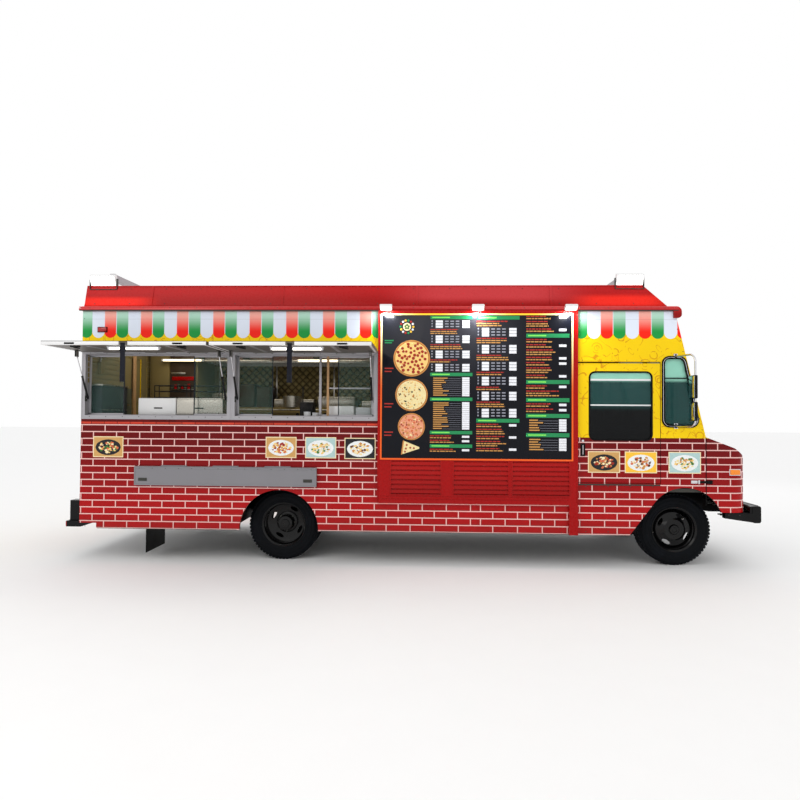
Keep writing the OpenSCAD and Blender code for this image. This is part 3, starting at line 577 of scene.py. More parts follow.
makeCamera()
makeStudio()
# painted lamp light: pools of paler red on the roof screen near the lamps
paintedLampLight = [(-3.42, 0.62, gutterZ + 0.10, 0.085, rgb(240, 32, 16)),
            (2.42, 0.72, gutterZ + 0.11, 0.10, rgb(240, 40, 26)),
            (0.9, 1.3, gutterZ + 0.22, 0.16, rgb(196, 56, 60))]
finish = {
    "wrap": makeWrap(),
    # painted light: each red finish runs from a darker low colour to a paler top colour, and the gutter
    # bead's pink top is a painted highlight
    "red": makeRed("coverRed", rgb(166, 10, 8), rgb(158, 6, 8), 0.5, 1.6),
    "roof": makeRed("roofRed", rgb(196, 40, 42), rgb(142, 8, 10), gutterZ - 0.05, roofTop),
    "screen": makeRed("screenRed", rgb(182, 22, 24), rgb(158, 6, 6), gutterZ + 0.09, gutterZ + 0.26,
                      paintedLampLight),
    "bead": makeRed("gutterRed", rgb(226, 100, 100), rgb(178, 24, 28), gutterZ, gutterZ + 0.05),
    "louvre": makeRed("louvreRed", rgb(172, 18, 16), rgb(148, 8, 8), 0.7, 1.2),
    "aluminium": makeMetal("satinAluminium", rgb(168, 166, 170), 0.38, (1, 1, 12), 0.5),
    "shelfMetal": makeMetal("shelfAluminium", rgb(134, 133, 137), 0.42, (14, 1, 1), 0.4),
    "whiteMetal": makeMetal("whiteAluminium", rgb(232, 232, 232), 0.38, (1, 1, 10), 0.25, 0.06),
    "stainless": makeMetal("brushedStainless", rgb(186, 182, 172), 0.28, (14, 1, 1)),
    "darkSteel": makeMetal("darkSteel", rgb(70, 70, 66), 0.4, (1, 12, 1), 0.6),
    "chrome": makeMetal("chrome", rgb(216, 216, 220), 0.12, (1, 1, 1), 1.0, 0.05),
    "flap": makeMetal("flapGrey", rgb(112, 108, 104), 0.45, (10, 1, 1), 0.3),
    "chassis": makeCast("chassisBlack", rgb(6, 6, 7), 0.06),
    "iron": makeCast("castIron", rgb(74, 74, 74), 0.5),
    "pipe": makeCast("exhaustSteel", rgb(110, 104, 98), 0.8),
    "blackPaint": makePlastic("blackEnamel", rgb(3, 3, 4), 0.26, 90.0, 0.01, 0.15),
    "trim": makePlastic("blackTrim", rgb(20, 20, 21), 0.5),
    "gasket": makePlastic("gasketRubber", rgb(4, 4, 5), 0.45, 120.0, 0.01),
    "whitePlastic": makePlastic("whitePlastic", rgb(226, 228, 232), 0.4, 200.0, 0.05),
    "cream": makePlastic("creamPanel", rgb(128, 114, 74), 0.5, 60.0, 0.05),
    "brownPanel": makePlastic("brownPanel", rgb(62, 50, 40), 0.4, 60.0, 0.05, 0.1),
    "darkGreen": makePlastic("mossPanel", rgb(84, 88, 74), 0.45, 60.0, 0.05),
    "dark": makePlastic("slateCabinet", rgb(44, 50, 56), 0.42, 80.0, 0.1),
    "vinyl": makePlastic("seatVinyl", rgb(30, 30, 33), 0.5, 300.0, 0.1),
    "wheel": makePlastic("wheelEnamel", rgb(2, 2, 3), 0.26, 60.0, 0.01, 0.3),
    "rubber": makeRubber(),
    "strap": makeWeave("strapWebbing", rgb(16, 18, 30), 260.0),
    "glass": makeGlass("truckGlass", {"hatch": (rgb(96, 132, 122), 0.10), "middle": (rgb(36, 76, 74), 0.74),
                                      "high": (rgb(166, 232, 210), 0.70), "low": (rgb(4, 6, 8), 0.90)}),
    "mirror": makeMetal("mirrorFace", rgb(210, 220, 224), 0.1, (1, 1, 1), 1.0, 0.03),
    "led": makeGlow("ledTube", rgb(255, 252, 240), 3.0),
    "flood": makeGlow("floodFace", rgb(255, 255, 250), 4.0),
    "warmLed": makeGlow("warmTube", rgb(255, 236, 186), 2.4),
    "amber": makeLens("amberLens", rgb(250, 140, 10)),
    "redLens": makeLens("redLens", rgb(170, 8, 16)),
    "clearLens": makeLens("clearLens", rgb(220, 226, 230)),
    "ink": makeInk(),
    "quilt": makeQuilt(),
    "wood": makeWood(),
    "menu": makeMenuBlack(),
    "border": makeBorder(),
}
print("finishes ready")

nodeFinish = {
    "wrap": ["service_side_panel", "driver_side_panel", "upper_panels", "middle_panels", "quarter_panels",
             "sill_panels", "rear_wall", "cab_front", "hood", "side_door_right", "side_door_left",
             "rear_door"],
    "red": ["louvred_covers"], "roof": ["roof"], "screen": ["roof_screen"],
    "aluminium": ["service_window_frames", "roof_end_frames"], "flap": ["flap_rear", "flap_front"],
    "shelfMetal": ["shelf"], "stainless": ["range_hood"], "cream": ["kitchen_units"],
    "chassis": ["frame_rails", "cross_members", "front_axle_beam", "rear_axle", "leaf_springs",
                "knuckle_right",
                "knuckle_left", "tie_rod", "drive_shaft"],
    "iron": ["engine_block"], "pipe": ["exhaust"], "darkSteel": ["floor", "fuel_tank"],
    "blackPaint": ["front_bumper", "rear_step"], "gasket": ["mud_flaps"],
    "trim": ["dashboard", "engine_cover", "strut_barrels_rear", "strut_barrels_front"],
    "chrome": ["grille", "strut_rods_rear", "strut_rods_front", "mirrors"], "vinyl": ["seats"],
    "glass": ["door_glass_right", "door_glass_left", "window_glass"],
    "strap": ["pull_strap_rear", "pull_strap_front"],
    "rubber": ["tyre_front_right", "tyre_front_left", "tyre_rear_right", "tyre_rear_left"],
    "wheel": ["rim_front_right", "rim_front_left", "rim_rear_right", "rim_rear_left"],
}
for finishName, members in nodeFinish.items():
    for member in members:
        nodes[member].data.materials.clear()
        nodes[member].data.materials.append(finish[finishName])

# mesh tools


def colourFaces(bm, faces, mat, tint):
    for face in faces:
        face.material_index = mat
        if tint:
            for loop in face.loops:
                loop[bm.loops.layers.float_color["tint"]] = tint


def facesOf(verts):
    return {face for vert in verts for face in vert.link_faces}


def newMesh(tinted=False):
    bm = bmesh.new()
    if tinted:
        bm.loops.layers.float_color.new("tint")
    return bm


def addBox(bm, low, high, mat=0, soft=0.0, tint=None, turn=None, steps=2):
    low = Vector(low)
    high = Vector(high)
    made = bmesh.ops.create_cube(bm, size=1)["verts"]
    bmesh.ops.scale(bm, vec=high - low, verts=made)
    bmesh.ops.translate(bm, vec=(low + high) / 2, verts=made)
    if soft:
        edges = list({edge for vert in made for edge in vert.link_edges})
        made = bmesh.ops.bevel(bm, geom=edges, offset=soft, segments=steps, profile=0.5, affect="EDGES",
                               material=-1, clamp_overlap=True)["verts"]
    if turn:
        bmesh.ops.transform(bm, matrix=turn, verts=made)
    colourFaces(bm, facesOf(made), mat, tint)
    return made


def about(point, angle, axis):
    # a turn about a line through a point
    return Matrix.Translation(point) @ Matrix.Rotation(math.radians(angle), 4,
                                                       axis) @ Matrix.Translation(-Vector(point))


def addRod(bm, start, end, radius, mat=0, endRadius=None, sides=16, tint=None):
    start = Vector(start)
    end = Vector(end)
    run = end - start
    place = Matrix.Translation((start + end) / 2) @ run.to_track_quat("Z", "Y").to_matrix().to_4x4()
    last = radius if endRadius is None else endRadius
    made = bmesh.ops.create_cone(bm, cap_ends=True, segments=sides, radius1=radius, radius2=last,
                                 depth=run.length, matrix=place)["verts"]
    colourFaces(bm, facesOf(made), mat, tint)
    return made


def addBall(bm, centre, size, mat=0, tint=None, steps=2):
    place = Matrix.Translation(centre) @ Matrix.Diagonal((*size, 1))
    made = bmesh.ops.create_icosphere(bm, subdivisions=steps, radius=1, matrix=place)["verts"]
    colourFaces(bm, facesOf(made), mat, tint)
    return made


def addPlate(bm, outline, thick, mat=0, tint=None):
    face = bm.faces.new([bm.verts.new(point) for point in outline])
    made = bmesh.ops.extrude_face_region(bm, geom=[face], use_keep_orig=True)["geom"]
    raised = [item for item in made if isinstance(item, bmesh.types.BMVert)]
    bmesh.ops.translate(bm, vec=thick, verts=raised)
    colourFaces(bm, facesOf(raised) | {face}, mat, tint)


def addFrame(bm, outline, width, thick, mat=0):
    # a flat ring inside an outline, given a thickness
    face = bm.faces.new([bm.verts.new(point) for point in outline])
    face.normal_update()
    ring = bmesh.ops.inset_region(bm, faces=[face], thickness=width, use_even_offset=True,
                                  use_boundary=True)["faces"]
    bmesh.ops.delete(bm, geom=[face], context="FACES_ONLY")
    made = bmesh.ops.extrude_face_region(bm, geom=ring, use_keep_orig=True)["geom"]
    raised = [item for item in made if isinstance(item, bmesh.types.BMVert)]
    bmesh.ops.translate(bm, vec=thick, verts=raised)
    colourFaces(bm, facesOf(raised) | set(ring), mat, None)


def addTube(bm, points, radius, mat=0, closed=False, sides=3):
    curve = bpy.data.curves.new("path", "CURVE")
    curve.dimensions = "3D"
    curve.bevel_depth = radius
    curve.bevel_resolution = sides
    curve.use_fill_caps = True
    spline = curve.splines.new("POLY")
    spline.points.add(len(points) - 1)
    for knot, point in zip(spline.points, points):
        knot.co = (*point, 1)
    spline.use_cyclic_u = closed
    holder = bpy.data.objects.new("path", curve)
    mesh = bpy.data.meshes.new_from_object(holder)
    before = len(bm.faces)
    bm.from_mesh(mesh)
    bm.faces.ensure_lookup_table()
    for face in bm.faces[before:]:
        face.material_index = mat
    bpy.data.objects.remove(holder)
    bpy.data.meshes.remove(mesh)


def addRevolve(bm, profile, centre, mat=0, steps=64, axis="Y"):
    # profile of (radius, distance along the axis) pairs
    lead = Vector((1, 0, 0)) if axis != "X" else Vector((0, 0, 1))
    line = {"X": Vector((1, 0, 0)), "Y": Vector((0, 1, 0)), "Z": Vector((0, 0, 1))}[axis]
    centre = Vector(centre)
    before = len(bm.faces)
    verts = [bm.verts.new(centre + lead * radius + line * shift) for radius, shift in profile]
    edges = [bm.edges.new(pair) for pair in zip(verts, verts[1:])]
    bmesh.ops.spin(bm, geom=verts + edges, cent=centre, axis=line, angle=math.tau, steps=steps,
                   use_merge=True)
    bm.faces.ensure_lookup_table()
    for face in bm.faces[before:]:
        face.material_index = mat


def roundCorners(points, radius, steps=6):
    # each corner of a closed outline becomes an arc
    made = []
    for index, corner in enumerate(points):
        corner = Vector(corner)
        back = (Vector(points[index - 1]) - corner).normalized()
        ahead = (Vector(points[(index + 1) % len(points)]) - corner).normalized()
        opening = back.angle(ahead) / 2
        centre = corner + (back + ahead).normalized() * radius / math.sin(opening)
        first = corner + back * radius / math.tan(opening) - centre
        last = corner + ahead * radius / math.tan(opening) - centre
        for step in range(steps + 1):
            made.append(centre + first.slerp(last, step / steps).normalized() * first.length)
    return made


def bendPath(points, radius, steps=6):
    # an open route with its inner corners rounded
    inside = roundCorners(points, radius, steps)[steps + 1:-(steps + 1)]
    return [Vector(points[0])] + inside + [Vector(points[-1])]


def addPiece(name, bm, finishes, body, sharp=35, merge=0.0):
    if merge:
        bmesh.ops.remove_doubles(bm, verts=bm.verts, dist=merge)
    bmesh.ops.recalc_face_normals(bm, faces=bm.faces)
    mesh = bpy.data.meshes.new(name)
    bm.to_mesh(mesh)
    bm.free()
    for key in finishes:
        mesh.materials.append(finish[key])
    mesh.polygons.foreach_set("use_smooth", [True] * len(mesh.polygons))
    mesh.set_sharp_from_angle(angle=math.radians(sharp))
    piece = bpy.data.objects.new(name, mesh)
    scene.collection.objects.link(piece)
    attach(piece, body)
    return piece


def cutAway(piece, cutterMesh):
    # takes a shape out of a piece
    mesh = bpy.data.meshes.new("cutter")
    bmesh.ops.recalc_face_normals(cutterMesh, faces=cutterMesh.faces)
    cutterMesh.to_mesh(mesh)
    cutterMesh.free()
    cutter = bpy.data.objects.new("cutter", mesh)
    scene.collection.objects.link(cutter)
    change = piece.modifiers.new("cut", "BOOLEAN")
    change.operation = "DIFFERENCE"
    change.solver = "EXACT"
    change.object = cutter
    bpy.context.view_layer.update()
    result = bpy.data.meshes.new_from_object(piece.evaluated_get(bpy.context.evaluated_depsgraph_get()))
    piece.modifiers.clear()
    piece.data = result
    bpy.data.objects.remove(cutter)


def flatOutline(corners, y):
    return [Vector((x, y, z)) for x, z in corners]


def oblong(x0, x1, z0, z1):
    return [(x0, z0), (x1, z0), (x1, z1), (x0, z1)]


# wheels

tyreSet = {"radius": tyreRadius, "bead": 0.250, "halfWidth": 0.1125, "groove": 0.010, "lugs": 60}
wheelSet = {"holes": 4, "holePhase": 61, "holeRadius": 0.166, "nuts": 8, "nutCircle": 0.088,
            "twinStep": 0.260}


def tyreProfile():
    # bead to crown on one side, mirrored for the other
    r = tyreSet["radius"]
    w = tyreSet["halfWidth"]
    low = r - tyreSet["groove"]
    wall = [(tyreSet["bead"], w - 0.018), (0.256, w - 0.012), (0.268, w - 0.010), (0.284, w - 0.004),
            (0.288, w - 0.001),
            (0.293, w - 0.0035), (0.330, w), (0.334, w - 0.003), (0.362, w - 0.004), (0.366, w - 0.001),
            (0.371, w - 0.006), (0.388, w - 0.013), (low, w - 0.022)]
    crown = [(low, 0.056), (r - 0.001, 0.053), (r, 0.030), (low, 0.027), (low, 0.019), (r, 0.016)]
    one = wall + crown
    return one + [(radius, -shift) for radius, shift in reversed(one)]


def addTyre(bm, centre):
    profile = tyreProfile()
    addRevolve(bm, profile + profile[:1], centre, steps=96)
    w = tyreSet["halfWidth"]
    for side in (-1, 1):
        for index in range(tyreSet["lugs"]):
            turn = about(centre, 360 / tyreSet["lugs"] * (index + (side > 0) * 0.5), "Y")
            low = min(side * 0.058, side * (w - 0.017))
            corner = centre + Vector((-0.0145, low, tyreSet["radius"] - 0.014))
            addBox(bm, corner, corner + Vector((0.029, w - 0.075, 0.0135)), turn=turn)


def addNuts(bm, centre, side, face, circle, count):
    for index in range(count):
        angle = math.tau * index / count
        spot = centre + Vector((math.cos(angle) * circle, 0, math.sin(angle) * circle))
        base = Vector((spot.x, face, spot.z))
        addRod(bm, base, base + Vector((0, side * 0.020, 0)), 0.0125, 1, sides=6)
        addRod(bm, base + Vector((0, side * 0.020, 0)), base + Vector((0, side * 0.032, 0)), 0.007, 1,
               sides=10)


def addRim(bm, centre, side, front):
    # centre is the middle of the outer tyre, side is the way out
    faceY = side * tyreSet["halfWidth"]
    deep = 0.225 if front else 0.485
    barrel = [(0.257, 0.006), (0.259, 0.012), (0.252, 0.018), (0.244, 0.024), (0.244, 0.060),
              (0.232, 0.072),
              (0.232, deep - 0.045), (0.246, deep - 0.030), (0.249, deep - 0.008)]
    if not front:
        barrel[6:6] = [(0.232, 0.150), (0.244, 0.165), (0.249, 0.205), (0.255, 0.212), (0.255, 0.268),
                       (0.249, 0.275),
                       (0.244, 0.300), (0.232, 0.315)]
    path = [(radius, faceY - side * depth) for radius, depth in barrel]
    back = [(radius - 0.006, shift) for radius, shift in reversed(path)]
    addRevolve(bm, path + back + path[:1], centre)
    if front:
        disc = [(0.232, 0.078), (0.214, 0.070), (0.198, 0.054), (0.186, 0.048), (0.148, 0.044),
                (0.124, 0.028),
                (0.112, 0.020), (0.060, 0.020), (0.054, 0.010), (0.048, 0.004), (0.030, 0.004),
                (0.026, 0.008), (0.0, 0.008)]
    else:
        disc = [(0.232, 0.175), (0.218, 0.178), (0.200, 0.186), (0.150, 0.192), (0.124, 0.196),
                (0.112, 0.190),
                (0.094, 0.190), (0.090, 0.105), (0.082, 0.092), (0.050, 0.090), (0.046, 0.082),
                (0.0, 0.082)]
    thick = 0.008
    sheet = [(radius, faceY - side * depth) for radius, depth in disc]
    under = [(radius, faceY - side * (depth + thick)) for radius, depth in reversed(disc)]
    addRevolve(bm, sheet + under + sheet[:1], centre)
    nutFace = centre.y + faceY - side * (0.020 if front else 0.190)
    addNuts(bm, centre, side, nutFace, wheelSet["nutCircle"] + (0 if front else 0.013), wheelSet["nuts"])
    addRod(bm, (centre.x + 0.236, centre.y + faceY - side * 0.040, centre.z),
           (centre.x + 0.222, centre.y + faceY - side * 0.010, centre.z + 0.004), 0.0045, 1, sides=8)


def holeCutter(centre, front):
    # long round-ended holes through the disc only
    bm = newMesh()
    radius = wheelSet["holeRadius"] + (0 if front else 0.012)
    for index in range(wheelSet["holes"]):
        outline = []
        for step in range(24):
            angle = math.tau * step / 24
            outline.append(centre + Vector((math.cos(angle) * 0.052, -0.30,
                                            radius + math.sin(angle) * 0.021)))
        turn = 360 / wheelSet["holes"] * index - wheelSet["holePhase"] + 90
        face = bm.faces.new([bm.verts.new(point) for point in outline])
        made = bmesh.ops.extrude_face_region(bm, geom=[face], use_keep_orig=True)["geom"]
        raised = [item for item in made if isinstance(item, bmesh.types.BMVert)]
        bmesh.ops.translate(bm, vec=(0, 0.62, 0), verts=raised)
        both = raised + list(face.verts)
        bmesh.ops.transform(bm, matrix=about(centre, turn, "Y"), verts=both)
    return bm


def buildWheels():
    for end in ("front", "rear"):
        for side, hand in ((service, "right"), (driver, "left")):
            low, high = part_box(f"tyre_{end}_{hand}")
            middle = (low + high) / 2
            outer = Vector((middle.x, (high.y if side > 0 else low.y) - side * tyreSet["halfWidth"],
                            middle.z))
            body = f"{end}_wheel_{hand}"
            bm = newMesh()
            addTyre(bm, outer)
            if end == "rear":
                addTyre(bm, outer - Vector((0, side * wheelSet["twinStep"], 0)))
            tyre = addPiece(f"tyreTread_{end}_{hand}", bm, ["rubber"], body, 28, 0.0002)
            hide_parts(f"tyre_{end}_{hand}")
            bm = newMesh()
            addRim(bm, outer, side, end == "front")
            rim = addPiece(f"rimDisc_{end}_{hand}", bm, ["wheel", "darkSteel"], body, 30, 0.0002)
            cutAway(rim, holeCutter(outer, end == "front"))
            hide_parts(f"rim_{end}_{hand}")


buildWheels()
print("wheels ready")

# flaps, struts and straps

flapSet = {"edge": 0.030, "lampLength": 0.52, "lampReach": 0.62, "strapWidth": 0.05, "strapThick": 0.0026,
           "strapGap": 0.046, "stripReach": 0.42, "latchReach": 0.30}


def buildFlap(which):
    body = f"flap_{which}"
    low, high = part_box(body)
    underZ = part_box(f"pull_strap_{which}")[1].z - 0.024
    topZ = high.z
    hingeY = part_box("shelf")[0].y + 0.02
    outerY = low.y + 0.012
    bm = newMesh()
    # channel round the sheet, with a gap where the strap hangs
    middle = (low.x + high.x) / 2
    edge = flapSet["edge"]
    frontY = outerY - 0.004
    sideY = outerY + edge
    rails = [((low.x + 0.002, frontY, underZ - 0.0005), (middle - flapSet["strapGap"], sideY, topZ + 0.003)),
             ((middle + flapSet["strapGap"], frontY, underZ - 0.0005), (high.x - 0.002, sideY, topZ + 0.003)),
             ((low.x + 0.002, sideY, underZ - 0.0005), (low.x + edge, hingeY - 0.05, topZ + 0.003)),
             ((high.x - edge, sideY, underZ - 0.0005), (high.x - 0.002, hingeY - 0.05, topZ + 0.003))]
    for start, end in rails:
        addBox(bm, start, end, 0, 0.002)
    dark = [((low.x + 0.002, outerY - 0.0055, topZ + 0.0005),
             (high.x - 0.002, outerY + 0.02, topZ + 0.0055)),
            ((high.x - 0.022, outerY + 0.02, topZ + 0.0005),
             (high.x - 0.001, hingeY - 0.05, topZ + 0.0055)),
            ((low.x + 0.001, outerY + 0.02, topZ + 0.0005), (low.x + 0.022, hingeY - 0.05, topZ + 0.0055))]
    for start, end in dark:
        addBox(bm, start, end, 1, 0.0015)
    addPiece(f"flapChannel_{which}", bm, ["whiteMetal", "trim"], body)
    bm = newMesh()
    for offset in (-flapSet["stripReach"], flapSet["stripReach"]):
        x = middle + offset
        addBox(bm, (x - 0.02, outerY + 0.09, underZ - 0.004), (x + 0.02, hingeY - 0.10, underZ), 0, 0.002)
    for x in (low.x + flapSet["latchReach"], high.x - flapSet["latchReach"]):
        # slam latch with its lever
        addBox(bm, (x - 0.045, outerY + 0.090, underZ - 0.014), (x + 0.045, outerY + 0.135, underZ), 1,
               0.003)
        addRod(bm, (x - 0.02, outerY + 0.112, underZ - 0.014), (x + 0.05, outerY + 0.112, underZ - 0.026),
               0.006, 1)
        addBox(bm, (x - 0.055, outerY - 0.004, underZ + 0.004), (x + 0.055, outerY + 0.004, topZ - 0.008),
               1, 0.002)
    addPiece(f"flapFittings_{which}", bm, ["aluminium", "trim"], body)
    bm = newMesh()
    lampX = middle + 0.04
    reach = flapSet["lampLength"] / 2
    lampY = hingeY - flapSet["lampReach"]
    addBox(bm, (lampX - reach - 0.02, lampY - 0.035, underZ - 0.012),
           (lampX + reach + 0.02, lampY + 0.035, underZ), 0, 0.003)
    addRod(bm, (lampX - reach, lampY, underZ - 0.016), (lampX + reach, lampY, underZ - 0.016), 0.018, 1)
    for end in (-1, 1):
        addRod(bm, (lampX + end * (reach - 0.002), lampY, underZ - 0.016),
               (lampX + end * (reach + 0.016), lampY, underZ - 0.016), 0.0195, 0)
    addPiece(f"flapLamp_{which}", bm, ["whitePlastic", "led"], body)
    return underZ


def buildStrap(which):
    body = f"pull_strap_{which}"
    low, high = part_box(body)
    middle = (low.x + high.x) / 2
    y = (low.y + high.y) / 2
    pinZ = high.z - 0.007
    w = flapSet["strapWidth"] / 2
    t = flapSet["strapThick"] / 2
    bm = newMesh()
    # widths down the strap: loop, buckle, tape, doubled end
    stations = [(pinZ + 0.004, w * 0.9), (pinZ - 0.030, w * 0.92), (pinZ - 0.040, w * 1.0),
                (pinZ - 0.30, w), (low.z + 0.002, w * 1.08)]
    for side in (-1, 1):
        for (z0, w0), (z1, w1) in zip(stations, stations[1:]):
            corners = [(middle - w0, z0), (middle + w0, z0), (middle + w1, z1), (middle - w1, z1)]
            addPlate(bm, [Vector((x, y + side * t * 1.2 - t, z)) for x, z in corners], (0, t * 2, 0))
    addBox(bm, (middle - w, y - 0.0065, low.z + 0.004), (middle + w, y + 0.0065, low.z + 0.075), 0, 0.003)
    addRod(bm, (middle - w, y, pinZ), (middle + w, y, pinZ), 0.0068, 0)
    buckle = roundCorners([(middle - w - 0.006, y, pinZ - 0.085), (middle + w + 0.006, y, pinZ - 0.085),
                           (middle + w + 0.002, y, pinZ - 0.035), (middle - w - 0.002, y, pinZ - 0.035)],
                           0.008)
    addTube(bm, buckle, 0.004, 1, True)
    for z in (low.z + 0.012, low.z + 0.066):
        addBox(bm, (middle - w + 0.004, y - 0.0072, z - 0.001), (middle + w - 0.004, y + 0.0072, z + 0.001),
               1)
    strap = addPiece(f"strapTape_{which}", bm, ["strap", "trim"], body, 40)
    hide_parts(body)


def buildStruts(which, underZ):
    # collars on the barrels, balls at both pins and the brackets that hold them
    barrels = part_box(f"strut_barrels_{which}")
    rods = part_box(f"strut_rods_{which}")
    bottom = Vector((0, barrels[1].y - 0.011, barrels[0].z + 0.011))
    top = Vector((0, rods[0].y + 0.010, rods[1].z - 0.010))
    axis = (top - bottom).normalized()
    bmBarrel = newMesh()
    bmRod = newMesh()
    bmFlap = newMesh()
    bmFrame = newMesh()
    for x in (barrels[0].x + 0.011, barrels[1].x - 0.011):
        shift = Vector((x, 0, 0))
        end = bottom + axis * 0.285
        addRod(bmBarrel, shift + end - axis * 0.018, shift + end + axis * 0.001, 0.0128, 0)
        addRod(bmBarrel, shift + bottom + axis * 0.016, shift + bottom + axis * 0.030, 0.0125, 0)
        addRod(bmRod, shift + top - axis * 0.030, shift + top - axis * 0.010, 0.0075, 0)
        addRod(bmFlap, shift + top + Vector((-0.011, 0, 0)), shift + top + Vector((0.011, 0, 0)), 0.0045, 0)
        away = 1 if x > (barrels[0].x + barrels[1].x) / 2 else -1
        plateX = x - away * -0.0085
        addBox(bmFlap, (plateX - 0.004, top.y - 0.024, top.z - 0.012),
               (plateX + 0.004, top.y + 0.024, underZ - 0.001), 0, 0.002)
        addBox(bmFlap, (x - 0.020, top.y - 0.035, underZ - 0.004), (x + 0.020, top.y + 0.035, underZ), 0,
               0.0015)
        wallX = barrels[1].x + 0.012 if away > 0 else barrels[0].x - 0.012
        addBox(bmFrame, (wallX - 0.003, bottom.y - 0.026, bottom.z - 0.034),
               (wallX + 0.003, bottom.y + 0.026, bottom.z + 0.034), 0, 0.0015)
        for z in (-0.022, 0.022):
            addRod(bmFrame, (wallX - away * 0.006, bottom.y, bottom.z + z), (wallX, bottom.y, bottom.z + z),
                   0.005, 0, sides=6)
    addPiece(f"strutCollars_{which}", bmBarrel, ["trim"], f"strut_barrels_{which}")
    addPiece(f"strutEnds_{which}", bmRod, ["chrome"], f"strut_rods_{which}")
    addPiece(f"strutBrackets_{which}", bmFlap, ["darkSteel"], f"flap_{which}")
    addPiece(f"strutMounts_{which}", bmFrame, ["darkSteel"], "root")


for which in ("rear", "front"):
    buildStruts(which, buildFlap(which))
    buildStrap(which)
print("flaps ready")

# service windows and shelf

windowSet = {"bar": 0.024, "paneY": 1.112, "jamb": 0.045, "sash": 0.42}
windowSpans = [(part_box("service_window_frames")[0].x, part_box("flap_front")[0].x - 0.013),
               (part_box("flap_front")[0].x - 0.013, coverBack - 0.004)]


def buildWindows():
    bm = newMesh()
    lintelZ = sillZ + 0.795
    jamb = windowSet["jamb"]
    y = out(service, windowSet["paneY"])
    for start, end in windowSpans:
        low = sillZ + jamb
        high = lintelZ - jamb
        for side, x in ((1, start + jamb), (-1, end - jamb)):
            x0, x1 = sorted((x, x + side * windowSet["sash"]))
            bar = windowSet["bar"]
            slim = 0.009
            left, right = (bar, slim) if side > 0 else (slim, bar)
            for a, b, mat in (((x0, low), (x0 + left, high), 0 if side > 0 else 2),
                              ((x1 - right, low), (x1, high), 2 if side > 0 else 0),
                              ((x0, low), (x1, low + bar), 0), ((x0, high - bar), (x1, high), 0)):
                addBox(bm, (a[0], y - 0.011, a[1]), (b[0], y + 0.011, b[1]), mat, 0.0025)
        # running tracks above and below, and a capping round the outside
        for z in (low, high - 0.008):
            for track in (-0.026, -0.014, 0.014, 0.026):
                addBox(bm, (start + jamb, y + track - 0.0015, z),
                       (end - jamb, y + track + 0.0015, z + 0.008), 0)
        outline = roundCorners(flatOutline(oblong(start + 0.004, end - 0.004, sillZ + 0.003,
                                                  lintelZ - 0.003), out(service, 1.206)), 0.012, 3)
        addFrame(bm, outline, 0.010, (0, -0.0025, 0), 0)
        addBox(bm, (start + 0.012, out(service, 1.2085), sillZ + 0.010),
               (end - 0.012, out(service, 1.204), sillZ + 0.018), 0, 0.002)
        for step in range(9):
            x = start + 0.10 + (end - start - 0.2) * step / 8
            for z in (sillZ + 0.030, lintelZ - 0.030):
                addBall(bm, (x, out(service, 1.206), z), (0.006, 0.0025, 0.006), 1, steps=1)
    addPiece("sashFrames", bm, ["aluminium", "darkSteel", "dark"], "root")


def buildShelf():
    low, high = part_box("shelf")
    bm = newMesh()
    faceY = low.y
    # rolled lips and two folding brackets under the shelf
    addBox(bm, (low.x, faceY - 0.004, low.z), (high.x, faceY + 0.004, low.z + 0.018), 0, 0.003)
    addBox(bm, (low.x, faceY - 0.004, high.z - 0.040), (high.x, faceY + 0.002, high.z - 0.026), 0, 0.002)
    for x in (low.x, high.x - 0.014):
        addBox(bm, (x, faceY - 0.003, low.z + 0.012), (x + 0.014, faceY + 0.003, high.z - 0.034), 0, 0.002)
    for x in (low.x + 0.10, high.x - 0.10):
        addBox(bm, (x - 0.05, faceY - 0.007, low.z + 0.05), (x + 0.05, faceY, low.z + 0.085), 1, 0.002)
        addRod(bm, (x - 0.035, faceY - 0.006, low.z + 0.068), (x + 0.035, faceY - 0.006, low.z + 0.068),
               0.005, 1)
    for step in range(14):
        x = low.x + 0.06 + (high.x - low.x - 0.12) * step / 13
        addBall(bm, (x, faceY - 0.003, high.z - 0.033), (0.006, 0.003, 0.006), 1, steps=1)
    addPiece("shelfLips", bm, ["shelfMetal", "darkSteel"], "shelf")


buildWindows()
buildShelf()
print("service side ready")

# covers, louvres and the menu

menuSet = {"low": 1.217, "high": 2.837, "back": -0.275, "front": 1.852, "border": 0.016}
louvreGroups = [(-0.165, 0.392), (0.541, 1.149), (1.198, 1.825)]


def buildLouvres():
    for side, hand in ((service, "right"), (driver, "left")):
        bm = newMesh()
        for start, end in louvreGroups:
            base = out(side, coverFace - 0.021)
            for step in range(7):
                z = 0.822 + step * 0.053
                corners = [(0, 0.0), (0.019, 0.002), (0.021, 0.006), (0.008, 0.040), (0, 0.042)]
                outline = [Vector((start, base + side * reach, z + rise)) for reach, rise in corners]
                addPlate(bm, outline, (end - start, 0, 0), 0)
            frameOutline = roundCorners(flatOutline(oblong(start - 0.012, end + 0.012, 0.803, 1.202),
                                                    out(side, coverFace)), 0.010, 3)
            addFrame(bm, frameOutline, 0.012, (0, side * 0.004, 0), 0)
        # folded edges and corner screws of the big cover
        face = out(side, coverFace)
        for x in (coverBack + 0.004, coverFront - 0.016):
            addBox(bm, (x, face - 0.004, 0.714), (x + 0.012, face + 0.004, gutterZ - 0.006), 0, 0.003)
        addBox(bm, (coverBack + 0.01, face - 0.005, gutterZ - 0.030),
               (coverFront - 0.01, face + 0.005, gutterZ - 0.012), 0, 0.004)
        for z in (0.76, 0.79):
            addBox(bm, (coverBack + 0.02, face - 0.003, z - 0.004),
                   (coverFront - 0.11, face + 0.003, z + 0.003), 0, 0.002)
        for step in range(12):
            z = 0.80 + step * 0.18
            for x in (coverBack + 0.022, coverFront - 0.030):
                addBall(bm, (x, face, z), (0.006, 0.003, 0.006), 1, steps=1)
        addPiece(f"louvreSlats_{hand}", bm, ["louvre", "red"], "root")


